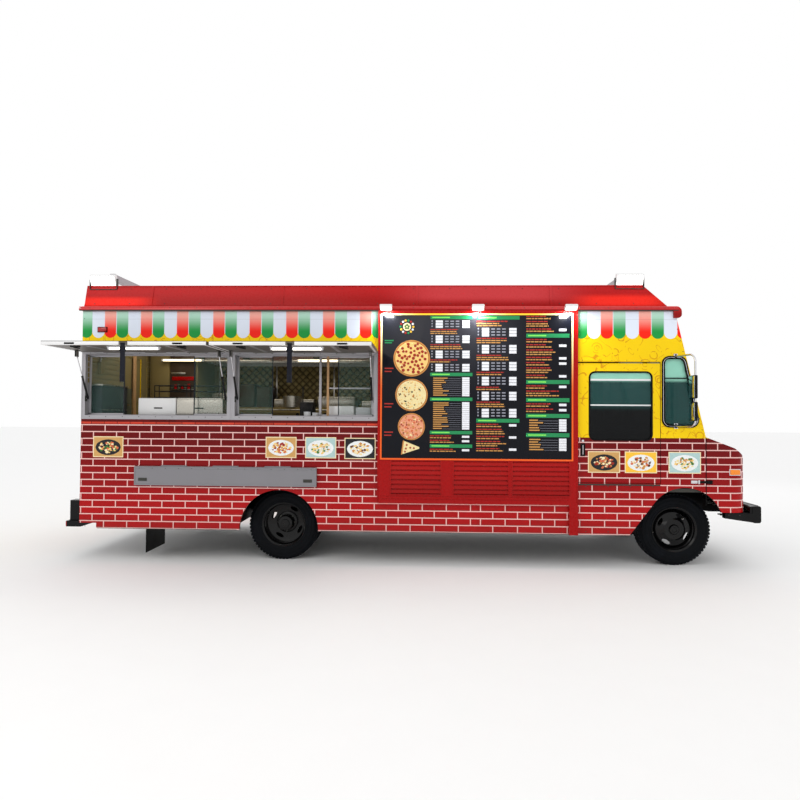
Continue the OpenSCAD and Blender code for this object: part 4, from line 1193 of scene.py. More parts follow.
inkTints = {
    "green": rgb(34, 140, 84), "lime": rgb(130, 232, 96), "white": rgb(236, 238, 244),
    "grey": rgb(150, 152, 164),
    "orange": rgb(204, 148, 78), "red": rgb(176, 44, 34), "cream": rgb(244, 226, 180),
    "crust": rgb(206, 142, 74),
    "rim": rgb(170, 100, 44), "cheese": rgb(242, 204, 124), "pale": rgb(240, 222, 164),
    "pepperoni": rgb(158, 40, 24),
    "sauce": rgb(214, 110, 70), "pink": rgb(232, 158, 122), "olive": rgb(60, 48, 34),
    "leaf": rgb(70, 120, 50),
    "brown": rgb(96, 48, 28), "dish": rgb(236, 240, 240), "teal": rgb(176, 206, 204),
    "tan": rgb(206, 160, 96),
    "night": rgb(30, 30, 34), "gold": rgb(250, 196, 60),
}


def addBar(bm, x, z, width, height, tint, lift=0.0015):
    # a flat strip on the menu, measured from its rear upper corner
    face = out(service, coverFace + 0.010)
    addBox(bm, (x, face - lift, z - height), (x + width, face + 0.0005, z), 0, 0, inkTints[tint])


def addLines(bm, rng, x, z, width, tints, pitch=0.0195):
    for index, tint in enumerate(tints):
        run = width * rng.uniform(0.62, 0.98)
        spot = x
        while spot < x + run:
            # words of uneven length, as plain dashes
            dash = min(rng.uniform(0.022, 0.062), x + run - spot)
            addBar(bm, spot, z - index * pitch, dash, 0.0095, tint)
            spot += dash + 0.007
    return z - len(tints) * pitch - 0.006


def addSizes(bm, x, z, width):
    for row in range(3):
        top = z - row * 0.027
        addBar(bm, x + 0.012, top, 0.014, 0.014, "grey")
        addBar(bm, x + 0.06, top, 0.080, 0.0235, "white")
        for step in range(3):
            addBar(bm, x + 0.165 + step * 0.060, top - 0.004, 0.040, 0.011, "grey")
        addBar(bm, x + width - 0.115, top, 0.082, 0.0235, "white")
    return z - 0.090


def addList(bm, rng, x, z, width, rows):
    for row in range(rows):
        top = z - row * 0.0215
        name = rng.uniform(0.09, 0.18)
        addBar(bm, x + 0.035, top - 0.004, name, 0.0105, "orange")
        addBar(bm, x + 0.045 + name, top - 0.013, width - name - 0.175, 0.002, "grey")
        addBar(bm, x + width - 0.115, top, 0.082, 0.0195, "white")
    return z - rows * 0.0215 - 0.012


def addHeader(bm, x, z, width):
    addBar(bm, x, z, width, 0.034, "green")
    addBar(bm, x + 0.02, z - 0.011, width * 0.42, 0.012, "lime", 0.0022)
    return z - 0.046


# each column: rear edge, width, how much it is stretched downwards, and what follows from the top
menuColumns = [
    (0.545, 0.475, 1.11, ["header", "sizes", "dish", "sizes", "dish", "sizes", "short", "sizes", "header",
                          "list9", "header",
                    "list13", "header", "priced", "priced", "header", "priced"]),
    (1.065, 0.480, 1.24, ["header", "dish", "sizes", "dish", "sizes", "dish", "sizes", "short", "sizes",
                          "short", "sizes",
                    "dish", "sizes", "header", "priced", "dish", "priced", "dish", "priced"]),
    (1.620, 0.480, 1.30, ["priced", "dish", "priced", "header", "short", "priced", "dish", "priced",
                          "priced", "dish",
                    "priced", "header", "priced", "dish", "header", "priced", "priced", "header", "list5",
                    "header", "list5"]),
]


def addColumn(bm, rng, x, z, width, rows):
    for kind in rows:
        if kind == "header":
            z = addHeader(bm, x, z, width)
        elif kind == "sizes":
            z = addSizes(bm, x, z, width)
        elif kind == "dish":
            z = addLines(bm, rng, x, z, width * 0.78, ["red", "orange", "orange"])
        elif kind == "short":
            z = addLines(bm, rng, x, z, width * 0.74, ["red", "orange"])
        elif kind == "priced":
            addBar(bm, x + width - 0.115, z - 0.002, 0.082, 0.021, "white")
            z = addLines(bm, rng, x, z, width * 0.68, ["red", "orange"])
        else:
            z = addList(bm, rng, x, z, width, int(kind[4:]))


def addPizza(bm, rng, x, z, radius, top, bits, bitTints, bitSize):
    # crust, raised rim, cheese and scattered toppings, all facing out
    face = out(service, coverFace + 0.010)
    addRod(bm, (x, face + 0.002, z), (x, face - 0.004, z), radius, 0, radius * 0.985, 64, inkTints["crust"])
    addRod(bm, (x, face - 0.003, z), (x, face - 0.0065, z), radius * 0.95, 0, radius * 0.90, 64,
           inkTints["rim"])
    addRod(bm, (x, face - 0.005, z), (x, face - 0.0075, z), radius * 0.905, 0, radius * 0.89, 64,
           inkTints[top])
    for index in range(bits):
        # sunflower spacing keeps the toppings apart
        reach = radius * 0.84 * math.sqrt((index + 0.5) / bits)
        angle = index * 2.39996 + rng.uniform(-0.12, 0.12)
        spot = (x + math.cos(angle) * reach, face - 0.0075, z + math.sin(angle) * reach)
        size = bitSize * rng.uniform(0.85, 1.15)
        addRod(bm, spot, (spot[0], spot[1] - 0.002, spot[2]), size, 0, size * 0.9, 12,
               inkTints[rng.choice(bitTints)])


def addCheeseSpots(bm, rng, x, z, radius, count, tints):
    face = out(service, coverFace + 0.010)
    for _ in range(count):
        reach = radius * 0.86 * math.sqrt(rng.random())
        angle = rng.uniform(0, math.tau)
        size = rng.uniform(0.004, 0.011)
        spot = (x + math.cos(angle) * reach, face - 0.0075, z + math.sin(angle) * reach)
        addRod(bm, spot, (spot[0], spot[1] - 0.0012, spot[2]), size, 0, size * 0.8, 8,
               inkTints[rng.choice(tints)])


def buildMenu():
    m = menuSet
    face = out(service, coverFace)
    bm = newMesh()
    addBox(bm, (m["back"], face - 0.010, m["low"]), (m["front"], face + 0.002, m["high"]), 0, 0.003)
    outline = flatOutline(oblong(m["back"] - m["border"], m["front"] + m["border"], m["low"] - m["border"],
                                 m["high"] + m["border"]), face)
    addFrame(bm, outline, m["border"] + 0.002, (0, -0.014, 0), 1)
    addPiece("menuBoard", bm, ["menu", "border"], "root")
    rng = random.Random(5)
    bm = newMesh(True)
    top = m["high"] - 0.010
    for x, width, stretch, rows in menuColumns:
        first = len(bm.verts)
        addColumn(bm, rng, m["back"] + x, top, width, rows)
        bm.verts.ensure_lookup_table()
        for vert in bm.verts[first:]:
            vert.co.z = top + (vert.co.z - top) * stretch
    addPiece("menuLines", bm, ["ink"], "root")
    bm = newMesh(True)
    x = m["back"] + 0.336
    rounds = [(x, m["high"] - 0.492, 0.208, "cheese", 46, ["pepperoni"], 0.0165),
                      (x, m["high"] - 0.906, 0.184, "pale", 20, ["cheese", "crust"], 0.008),
                      (x, m["high"] - 1.262, 0.153, "pink", 18, ["sauce", "crust"], 0.012)]
    for centreX, centreZ, radius, top, bits, tints, size in rounds:
        addPizza(bm, rng, centreX, centreZ, radius, top, bits, tints, size)
    addCheeseSpots(bm, rng, x, m["high"] - 0.492, 0.208, 60, ["pale", "cheese", "sauce"])
    addCheeseSpots(bm, rng, x, m["high"] - 0.906, 0.184, 110, ["cheese", "crust", "olive", "cream"])
    addCheeseSpots(bm, rng, x, m["high"] - 1.262, 0.153, 110, ["pale", "sauce", "pink", "pepperoni"])
    # one slice, and a ring of petals as a plain rosette at the top
    y = face - 0.010
    wedge = [(x - 0.105, m["low"] + 0.045), (x + 0.115, m["low"] + 0.118), (x - 0.085, m["low"] + 0.198)]
    addPlate(bm, roundCorners([Vector((a, y + 0.001, b)) for a, b in wedge], 0.012, 4), (0, -0.006, 0), 0,
             inkTints["pale"])
    addRod(bm, (x - 0.108, y - 0.003, m["low"] + 0.042), (x - 0.086, y - 0.003, m["low"] + 0.200), 0.0075,
           0, tint=inkTints["crust"])
    for dx, dz in ((-0.06, 0.11), (-0.05, 0.15), (-0.01, 0.12), (0.03, 0.115), (-0.07, 0.075)):
        addRod(bm, (x + dx, y - 0.005, m["low"] + dz), (x + dx, y - 0.008, m["low"] + dz), 0.011, 0, 0.009,
               12, inkTints["pepperoni"])
    crown = (x - 0.055, m["high"] - 0.135)
    for step in range(14):
        angle = math.tau * step / 14
        spot = (crown[0] + math.cos(angle) * 0.072, y - 0.001, crown[1] + math.sin(angle) * 0.072)
        addBall(bm, spot, (0.013, 0.003, 0.013), 0, inkTints[("gold", "white", "red", "green")[step % 4]],
                2)
    addRod(bm, (crown[0], y + 0.001, crown[1]), (crown[0], y - 0.003, crown[1]), 0.046, 0, 0.044, 32,
           inkTints["cream"])
    for step in range(5):
        angle = math.tau * step / 5 + 0.3
        addBall(bm, (crown[0] + math.cos(angle) * 0.02, y - 0.003, crown[1] + math.sin(angle) * 0.02),
                (0.012, 0.003, 0.012), 0, inkTints["leaf"], 2)
    for row in range(4):
        addBar(bm, m["back"] + 0.03, m["high"] - (0.285, 0.60, 1.0, 1.32)[row], 0.10, 0.013,
               ("green", "red", "red", "red")[row])
        addBar(bm, m["back"] + 0.03, m["high"] - (0.310, 0.635, 1.035, 1.355)[row], 0.08, 0.013,
               ("green", "red", "red", "red")[row])
    addPiece("menuPizzas", bm, ["ink"], "root")


pictureSet = {"width": 0.355, "height": 0.240}
# rear edge, lower edge, ground and food colours of each picture
pictures = [(-3.62, 1.195, "tan", ["cheese", "sauce", "leaf", "cream"], "night"),
            (-1.606, 1.205, "tan", ["sauce", "cheese", "crust", "pepperoni"], "dish"),
            (-1.150, 1.205, "teal", ["cheese", "pale", "leaf", "crust"], "dish"),
            (-0.700, 1.200, "night", ["cream", "crust", "brown", "cheese"], "dish"),
            (2.044, 1.072, "tan", ["sauce", "crust", "cream", "pepperoni"], "night"),
            (2.452, 1.072, "gold", ["brown", "sauce", "crust", "cream"], "dish"),
            (2.934, 1.072, "teal", ["cheese", "pale", "crust", "leaf"], "dish")]


def buildPicture(index, x, z, ground, foods, dish):
    w = pictureSet["width"]
    h = pictureSet["height"]
    face = out(service, half)
    rng = random.Random(40 + index)
    bm = newMesh(True)
    addBox(bm, (x, face - 0.0012, z), (x + w, face + 0.0005, z + h), 0, 0, inkTints["cream"])
    addBox(bm, (x + 0.010, face - 0.0020, z + 0.010), (x + w - 0.010, face, z + h - 0.010), 0, 0,
           inkTints[ground])
    # dish, then a heap of food on it
    centre = (x + w * 0.5, z + h * 0.48)
    place = Matrix.Translation((centre[0], face - 0.0022, centre[1])) @ Matrix.Diagonal((w * 0.42, 0.0016,
            h * 0.38, 1))
    made = bmesh.ops.create_icosphere(bm, subdivisions=3, radius=1, matrix=place)["verts"]
    colourFaces(bm, facesOf(made), 0, inkTints[dish])
    for step in range(46):
        reach = math.sqrt((step + 0.5) / 46)
        angle = step * 2.39996 + rng.uniform(-0.4, 0.4)
        spot = (centre[0] + math.cos(angle) * reach * w * 0.31, face - 0.0036,
                centre[1] + math.sin(angle) * reach * h * 0.26)
        size = rng.uniform(0.010, 0.022)
        addBall(bm, spot, (size, 0.0022, size * rng.uniform(0.5, 0.9)), 0, inkTints[rng.choice(foods)], 1)
    addPiece(f"foodPicture_{index}", bm, ["ink"], pictureBody(x), 50)


def pictureBody(x):
    onDoor = x + pictureSet["width"] / 2 > door[0].x and x + pictureSet["width"] / 2 < door[1].x
    return "side_door_right" if onDoor else "root"


buildLouvres()
buildMenu()
for index, (x, z, ground, foods, dish) in enumerate(pictures):
    buildPicture(index, x, z, ground, foods, dish)
print("covers and menu ready")

# roof edge, screen, lamps and vent


def sideBox(bm, side, x, reach, z, mat=0, soft=0.0, turn=None):
    # a box given by its spans, with reach measured out from the centre plane
    low, high = sorted((out(side, reach[0]), out(side, reach[1])))
    return addBox(bm, (x[0], low, z[0]), (x[1], high, z[1]), mat, soft, None, turn)


def addScrews(bm, side, xs, zs, reach, mat=1, size=0.006):
    for x in xs:
        for z in zs:
            addBall(bm, (x, out(side, reach), z), (size, size * 0.5, size), mat, steps=1)


def spread(start, end, count):
    return [start + (end - start) * step / (count - 1) for step in range(count)]


roofSet = {"proud": 0.028, "lip": 0.014, "screenFoot": 1.210, "screenHead": 1.152, "noseX": 3.040,
           "spots": (-0.23, 0.80, 1.83), "floods": (-3.55, 2.52), "seams": (-2.98, -1.45, 0.10, 1.62)}


def buildRoofEdge():
    r = roofSet
    face = half + r["proud"]
    screenTop = screenBox[1].z
    bm = newMesh()
    for side in (service, driver):
        start = (rearX - 0.030, out(side, face - 0.004), gutterZ + 0.012)
        addRod(bm, start, (r["noseX"], start[1], start[2]), 0.0125, 0, sides=12)
        addRod(bm, (start[0], start[1], gutterZ + 0.037), (r["noseX"], start[1], gutterZ + 0.037), 0.0065,
               0, sides=10)
        sideBox(bm, side, (rearX - 0.028, r["noseX"]), (face - 0.008, face + 0.004),
                (gutterZ - 0.006, gutterZ + 0.004), 1, 0.002)
        addScrews(bm, side, spread(rearX + 0.1, r["noseX"] - 0.15, 22), (gutterZ + 0.026,), face + 0.001)
    for z, radius in ((gutterZ + 0.012, 0.0125), (gutterZ + 0.037, 0.0065)):
        addRod(bm, (rearX - 0.024, out(-1, face - 0.004), z), (rearX - 0.024, out(1, face - 0.004), z),
               radius, 0, sides=12)
    addPiece("gutterBeads", bm, ["bead", "darkSteel"], "root")
    bm = newMesh()
    lean = (r["screenFoot"] - r["screenHead"]) / (screenTop - roofTop)
    for side in (service, driver):
        # folded foot, top edge and lapped joints of the screen
        sideBox(bm, side, (screenBox[0].x + 0.01, 2.90), (r["screenFoot"] - 0.004, r["screenFoot"] + 0.022),
                (roofTop, roofTop + 0.014), 0, 0.003)
        y = out(side, r["screenHead"] + 0.001)
        addRod(bm, (screenBox[0].x + 0.006, y, screenTop - 0.003), (2.668, y, screenTop - 0.003), 0.007, 0,
               sides=10)
        for x in r["seams"]:
            foot = Vector((x, out(side, r["screenFoot"] + 0.001), roofTop + 0.012))
            head = Vector((x, out(side, r["screenHead"] + 0.001), screenTop - 0.006))
            addPlate(bm, [foot, foot + Vector((0.030, 0, 0)), head + Vector((0.030, 0, 0)), head],
                     (0, side * 0.0035, 0), 0)
        for x in spread(screenBox[0].x + 0.12, 2.55, 16):
            for rise in (0.035, 0.215):
                reach = r["screenFoot"] - rise * lean
                addBall(bm, (x, out(side, reach + 0.001), roofTop + rise), (0.006, 0.004, 0.006), 1,
                        steps=1)
    addPiece("screenTrims", bm, ["screen", "darkSteel"], "root")


def buildLamps():
    r = roofSet
    face = half + r["proud"]
    bm = newMesh()
    for x in r["spots"]:
        # spot lamp on a bent arm, looking down at the board
        addBox(bm, (x - 0.030, out(service, face + 0.012), gutterZ + 0.004),
               (x + 0.030, out(service, face - 0.002), gutterZ + 0.044), 0, 0.003)
        addRod(bm, (x, out(service, face), gutterZ + 0.030),
               (x, out(service, face + 0.085), gutterZ + 0.048), 0.008, 0)
        tilt = about((x, out(service, face + 0.085), gutterZ + 0.030), -24, "X")
        addBox(bm, (x - 0.070, out(service, face + 0.125), gutterZ + 0.000),
               (x + 0.070, out(service, face + 0.045), gutterZ + 0.036), 0, 0.008, None, tilt)
        addBox(bm, (x - 0.060, out(service, face + 0.117), gutterZ - 0.003),
               (x + 0.060, out(service, face + 0.053), gutterZ + 0.002), 1, 0.002, None, tilt)
    addPiece("spotLamps", bm, ["whiteMetal", "flood"], "root")
    bm = newMesh()
    top = screenBox[1].z
    for x in r["floods"]:
        base = (x, out(service, r["screenHead"]), top + 0.060)
        tilt = about(base, 24, "X")
        addBox(bm, (x - 0.155, base[1] - 0.030, top + 0.002), (x + 0.155, base[1] + 0.028, top + 0.132), 0,
               0.010, None, tilt)
        addBox(bm, (x - 0.140, base[1] - 0.035, top + 0.014), (x + 0.140, base[1] - 0.028, top + 0.120), 1,
               0.002, None, tilt)
        for rise in spread(top + 0.025, top + 0.110, 6):
            addBox(bm, (x - 0.120, base[1] + 0.026, rise - 0.003),
                   (x + 0.120, base[1] + 0.046, rise + 0.003), 0, 0.0, None, tilt)
        for end in (-1, 1):
            addBox(bm, (x + end * 0.160 - 0.004, base[1] - 0.018, top - 0.040),
                   (x + end * 0.160 + 0.004, base[1] + 0.018, top + 0.085), 2, 0.002)
        addBox(bm, (x - 0.162, base[1] - 0.016, top - 0.044), (x + 0.162, base[1] + 0.020, top - 0.036), 2,
               0.002)
    addPiece("floodLamps", bm, ["whiteMetal", "flood", "darkSteel"], "root")
    for x in r["spots"]:
        addLamp("spotGlow", (x, out(service, face + 0.10), gutterZ - 0.02),
                (x, out(service, coverFace - 0.05), gutterZ - 0.6), (0.10, 0.06), 3.0)


def buildMarkers():
    bm = newMesh()
    for side in (service, driver):
        # rear side markers
        sideBox(bm, side, (-3.585, -3.481), (half - 0.001, half + 0.018), (2.648, 2.698), 0, 0.010)
        sideBox(bm, side, (-3.592, -3.474), (half - 0.001, half + 0.006), (2.641, 2.705), 2, 0.004)
    for reach in (-1.02, -0.13, 0.0, 0.13, 1.02):
        addBox(bm, (rearX - 0.060, midY + reach - 0.045, gutterZ - 0.062),
               (rearX - 0.038, midY + reach + 0.045, gutterZ - 0.026), 0, 0.008)
        addBox(bm, (3.000, midY + reach - 0.050, roofTop - 0.004),
               (3.044, midY + reach + 0.050, roofTop + 0.030), 1, 0.010)
        addBox(bm, (2.990, midY + reach - 0.056, roofTop - 0.006),
               (3.050, midY + reach + 0.056, roofTop + 0.006), 2, 0.004)
    addPiece("markerLights", bm, ["redLens", "amber", "gasket"], "root")
    bm = newMesh()
    for side in (service, driver):
        sideBox(bm, side, (3.605, 3.715), (half - 0.004, half + 0.016), (1.061, 1.121), 0, 0.010)
        sideBox(bm, side, (3.598, 3.722), (half - 0.004, half + 0.004), (1.054, 1.128), 1, 0.004)
    addPiece("noseMarkers", bm, ["amber", "chrome"], "hood")


def buildVent():
    bm = newMesh()
    low = (1.180, midY - 0.300)
    high = (1.560, midY + 0.260)
    top = 3.215
    addBox(bm, (low[0] - 0.022, low[1] - 0.022, top - 0.030),
           (high[0] + 0.022, high[1] + 0.022, top + 0.004), 0, 0.008)
    addBox(bm, (low[0] - 0.020, low[1] - 0.020, roofTop - 0.002),
           (high[0] + 0.020, high[1] + 0.020, roofTop + 0.016), 0, 0.004)
    for z in spread(roofTop + 0.05, top - 0.06, 6):
        for y in (low[1], high[1]):
            addBox(bm, (low[0] + 0.03, y - 0.005, z - 0.008), (high[0] - 0.03, y + 0.005, z + 0.008), 1,
                   0.003)
        for x in (low[0], high[0]):
            addBox(bm, (x - 0.005, low[1] + 0.03, z - 0.008), (x + 0.005, high[1] - 0.03, z + 0.008), 1,
                   0.003)
    # a round fan cowl and lap seams across the roof
    centre = (-1.9, midY + 0.35, roofTop)
    addRevolve(bm, [(0.0, 0.190), (0.230, 0.170), (0.262, 0.120), (0.262, 0.100), (0.190, 0.090),
                    (0.190, 0.0), (0.0, 0.0)], centre, 1, 40, "Z")
    for x in spread(-3.3, 2.4, 7):
        addBox(bm, (x, midY - 1.12, roofTop - 0.001), (x + 0.035, midY + 1.12, roofTop + 0.003), 0, 0.001)
    addPiece("roofVents", bm, ["roof", "aluminium"], "root", merge=0.0003)


buildRoofEdge()
buildLamps()
buildMarkers()
buildVent()
print("roof ready")

# cab windows, doors and mirrors

cabSet = {"slope": 0.2365, "footX": 3.345, "footZ": 1.478, "doorOut": half - 0.0005}
doorWindow = [(2.064, 1.442), (2.750, 1.442), (2.750, 2.200), (2.064, 2.200)]
quarterWindow = [(2.883, 1.605), (3.266, 1.605), (3.102, 2.362), (2.883, 2.362)]


def screenPoint(reach, z, proud=0.0):
    # a point on the slanted face of the windscreen
    x = cabSet["footX"] - (z - cabSet["footZ"]) * cabSet["slope"]
    return Vector((x + proud, midY + reach, z))


def grown(corners, amount):
    # an outline moved outward from its own middle
    middle = (sum(x for x, z in corners) / len(corners), sum(z for x, z in corners) / len(corners))
    return [(x + math.copysign(amount, x - middle[0]), z + math.copysign(amount, z - middle[1]))
            for x, z in corners]


def buildGaskets():
    bm = newMesh()
    for side in (service, driver):
        outline = roundCorners(flatOutline(grown(quarterWindow, 0.022), out(side, half)), 0.085)
        addFrame(bm, outline, 0.034, (0, side * 0.010, 0), 0)
        outline = roundCorners(flatOutline(grown(quarterWindow, 0.004), out(side, half + 0.010)), 0.070)
        addFrame(bm, outline, 0.012, (0, side * -0.024, 0), 0)
        # a chrome locking strip in the rubber
        addTube(bm, roundCorners(flatOutline(grown(quarterWindow, 0.006), out(side, half + 0.010)), 0.075),
                0.0028, 1, True)
        # division bar of the quarter window
        sideBox(bm, side, (2.872, 3.140), (half - 0.026, half - 0.010), (2.130, 2.142), 0)
    for low, high in ((-1.105, -0.035), (0.035, 1.105)):
        corners = [(low, 1.588), (high, 1.588), (high, 2.702), (low, 2.702)]
        outline = roundCorners([screenPoint(reach, z, 0.001) for reach, z in corners], 0.070)
        addFrame(bm, outline, 0.034, (0.010, 0, 0.0024), 0)
    addTube(bm, [screenPoint(0, 1.60, 0.010), screenPoint(0, 2.69, 0.010)], 0.010, 1)
    addPiece("cabGaskets", bm, ["gasket", "chrome"], "root")
    for side, hand in ((service, "right"), (driver, "left")):
        bm = newMesh()
        outline = roundCorners(flatOutline(grown(doorWindow, 0.012), out(side, half)), 0.072)
        addFrame(bm, outline, 0.019, (0, side * 0.0025, 0), 0)
        # sliding panes: two white bars and the rail between them
        sideBox(bm, side, (2.066, 2.748), (half - 0.012, half - 0.004), (2.104, 2.126), 1, 0.003)
        sideBox(bm, side, (2.066, 2.748), (half - 0.012, half - 0.005), (1.822, 1.838), 1, 0.003)
        sideBox(bm, side, (2.398, 2.410), (half - 0.026, half - 0.019), (1.446, 1.822), 0, 0.002)
        # pull handle in a recessed cup, and the lock above it
        sideBox(bm, side, (1.960, 2.014), (half - 0.002, half + 0.003), (1.255, 1.400), 0, 0.006)
        addRod(bm, (1.987, out(side, half + 0.004), 1.275), (1.987, out(side, half + 0.004), 1.380), 0.0055,
               3)
        addRod(bm, (1.987, out(side, half - 0.002), 1.428), (1.987, out(side, half + 0.004), 1.428), 0.013,
               3)
        # edge trims and a brush at the foot
        sideBox(bm, side, (door[0].x, door[0].x + 0.012), (half - 0.001, half + 0.0035),
                (door[0].z + 0.005, door[1].z - 0.005), 4, 0.001)
        sideBox(bm, side, (door[0].x + 0.03, door[1].x - 0.03), (half - 0.024, half - 0.018),
                (door[0].z - 0.001, door[0].z + 0.012), 0)
        addPiece(f"doorTrims_{hand}", bm, ["gasket", "whiteMetal", "menu", "chrome", "wrap"],
                 f"side_door_{hand}")


def buildCabSides():
    bm = newMesh()
    for side in (service, driver):
        # header rail over the door, step plate below and the pillar's capping
        sideBox(bm, side, (1.930, 2.844), (half - 0.002, half + 0.010), (2.322, 2.346), 0, 0.003)
        sideBox(bm, side, (1.930, 2.844), (half - 0.036, half + 0.004), (0.930, 0.946), 1, 0.003)
        addScrews(bm, side, spread(1.98, 2.80, 6), (2.334,), half + 0.010, 1, 0.005)
        for x in spread(2.02, 2.76, 4):
            addScrews(bm, side, (x,), (0.415, 0.92), half + 0.001, 1, 0.007)
        # seam cover between the cab and the nose
        sideBox(bm, side, (cowlX - 0.004, cowlX + 0.003), (half - 0.006, half + 0.002), (0.72, 1.47), 2)
        # a row of rivets up each front corner
        for step in range(10):
            z = 1.56 + step * 0.125
            x = screenPoint(0, z).x - 0.022
            addBall(bm, (x, out(side, half + 0.0005), z), (0.006, 0.003, 0.006), 1, steps=1)
    addPiece("cabSideTrims", bm, ["wrap", "darkSteel", "gasket"], "root")


def buildWipers():
    bm = newMesh()
    for side in (service, driver):
        foot = screenPoint(side * 0.36, 1.515, 0.012)
        tip = screenPoint(side * 0.66, 2.02, 0.030)
        addRod(bm, foot - Vector((0.02, 0, 0)), foot + Vector((0.022, 0, 0.004)), 0.014, 0)
        addRod(bm, foot + Vector((0.018, 0, 0.002)), tip, 0.006, 0, 0.004)
        start = screenPoint(side * 0.48, 1.74, 0.018)
        end = screenPoint(side * 0.84, 2.30, 0.018)
        addRod(bm, start, end, 0.0045, 1)
        for share in (0.15, 0.5, 0.85):
            addBall(bm, start.lerp(end, share) + Vector((0.004, 0, 0)), (0.010, 0.008, 0.014), 0, steps=1)
        sideBox(bm, side, (3.316, 3.352), (0.20, 0.95), (1.488, 1.504), 0, 0.004)
    addPiece("wipers", bm, ["blackPaint", "gasket"], "root")


mirrorSet = {"footX": 3.014, "postX": 3.105, "reach": 1.500, "tube": 0.011, "low": 1.600, "high": 2.380,
             "heads": ((1.660, 1.865), (1.900, 2.150))}


def buildMirrors():
    m = mirrorSet
    bm = newMesh()
    for side in (service, driver):
        foot = out(side, half + 0.004)
        post = out(side, m["reach"])
        route = [Vector((m["footX"], foot, m["low"])), Vector((m["postX"], post, m["low"])),
                 Vector((m["postX"], post, m["high"])), Vector((m["footX"], foot, m["high"]))]
        addTube(bm, bendPath(route, 0.085, 8), m["tube"], 0, sides=4)
        for z in (m["low"], m["high"]):
            sideBox(bm, side, (m["footX"] - 0.022, m["footX"] + 0.022), (half - 0.001, half + 0.010),
                    (z - 0.030, z + 0.030), 0, 0.004)
            addRod(bm, (m["footX"], foot, z - 0.022), (m["footX"], foot, z + 0.022), 0.013, 1)
            addScrews(bm, side, (m["footX"],), (z - 0.022, z + 0.022), half + 0.010, 1)
        # flat head above and bulging head below, both looking back
        for low, high in m["heads"]:
            middle = (low + high) / 2
            bulge = high - low < 0.22
            addBox(bm, (m["postX"] - 0.040, post - 0.078, low), (m["postX"] - 0.006, post + 0.078, high), 1,
                   0.012, None, None, 3)
            addBox(bm, (m["postX"] - 0.043, post - 0.070, low + 0.010),
                   (m["postX"] - 0.038, post + 0.070, high - 0.010), 2, 0.002)
            if bulge:
                addBall(bm, (m["postX"] - 0.040, post, middle), (0.012, 0.066, 0.088), 2, None, 3)
            for z in (low + 0.04, high - 0.04):
                addRod(bm, (m["postX"], post, z - 0.014), (m["postX"], post, z + 0.014), 0.018, 0)
                addRod(bm, (m["postX"] - 0.012, post, z), (m["postX"] + 0.020, post, z), 0.006, 1, sides=6)
    arms = addPiece("mirrorArms", bm, ["chrome", "blackPaint", "mirror"], "root")
    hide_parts("mirrors")


buildGaskets()
buildCabSides()
buildWipers()
buildMirrors()
print("cab outside ready")

# cab inside

cushionSet = {"cuts": 9, "crown": 0.16, "pull": 0.035, "groove": 0.10, "piping": 0.0045}


def cushionPoint(u, v, w):
    # a box point between -1 and 1 moved onto a crowned, stitched pad
    edge = ((1 - abs(u) ** 6) * (1 - abs(v) ** 6)) ** 0.4 if abs(u) < 1 and abs(v) < 1 else 0.0
    rise = w * (0.42 + 0.58 * edge)
    if w > 0.4:
        rise += cushionSet["crown"] * (1 - u * u) * (1 - v * v)
        for channel in (-0.34, 0.34):
            rise -= cushionSet["groove"] * math.exp(-((v - channel) / 0.06) ** 2) * edge
    pull = cushionSet["pull"]
    return Vector((u * (1 - pull * (1 - v * v)), v * (1 - pull * (1 - u * u)), rise))


def buildCushion(name, centre, size, tilt):
    bm = newMesh()
    verts = bmesh.ops.create_cube(bm, size=2)["verts"]
    edges = list({edge for vert in verts for edge in vert.link_edges})
    bmesh.ops.subdivide_edges(bm, edges=edges, cuts=cushionSet["cuts"], use_grid_fill=True)
    place = Matrix.Translation(centre) @ Matrix.Rotation(math.radians(tilt), 4,
            "Y") @ Matrix.Diagonal((*[s / 2 for s in size], 1))
    for vert in bm.verts:
        vert.co = place @ cushionPoint(*vert.co)
    corners = [(-1, -1), (1, -1), (1, 1), (-1, 1)]
    seam = []
    for (u0, v0), (u1, v1) in zip(corners, corners[1:] + corners[:1]):
        for step in range(10):
            share = step / 10
            seam.append(place @ cushionPoint(u0 + (u1 - u0) * share, v0 + (v1 - v0) * share, 0.0))
    addTube(bm, seam, cushionSet["piping"], 1, True)
    pad = addPiece(name, bm, ["vinyl", "trim"], "root", 60)


def buildSeats():
    bm = newMesh()
    for side, hand in ((service, "right"), (driver, "left")):
        y = out(side, 0.640)
        addBox(bm, (2.240, y - 0.150, floorZ + 0.004), (2.550, y + 0.150, floorZ + 0.250), 0, 0.012)
        addBox(bm, (2.232, y - 0.158, floorZ), (2.558, y + 0.158, floorZ + 0.012), 0, 0.004)
        for reach in (-0.13, 0.13):
            addBox(bm, (2.190, y + reach - 0.018, floorZ + 0.250),
                   (2.620, y + reach + 0.018, floorZ + 0.290), 1, 0.004)
        addBox(bm, (2.165, y - 0.225, floorZ + 0.288), (2.645, y + 0.225, floorZ + 0.312), 0, 0.008)
        shell = about((2.190, y, floorZ + 0.42), -5.5, "Y")
        addBox(bm, (2.150, y - 0.200, floorZ + 0.34), (2.168, y + 0.200, floorZ + 0.98), 0, 0.008, None,
               shell)
        addRod(bm, (2.30, y - side * 0.235, floorZ + 0.33), (2.42, y - side * 0.235, floorZ + 0.36), 0.008,
               1)
        buildCushion(f"seatBase_{hand}", (2.412, y, floorZ + 0.368), (0.475, 0.470, 0.105), 0)
        buildCushion(f"seatBack_{hand}", (2.196, y, floorZ + 0.725), (0.610, 0.460, 0.085), 85)
    frames = addPiece("seatFrames", bm, ["blackPaint", "darkSteel"], "root")
    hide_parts("seats")


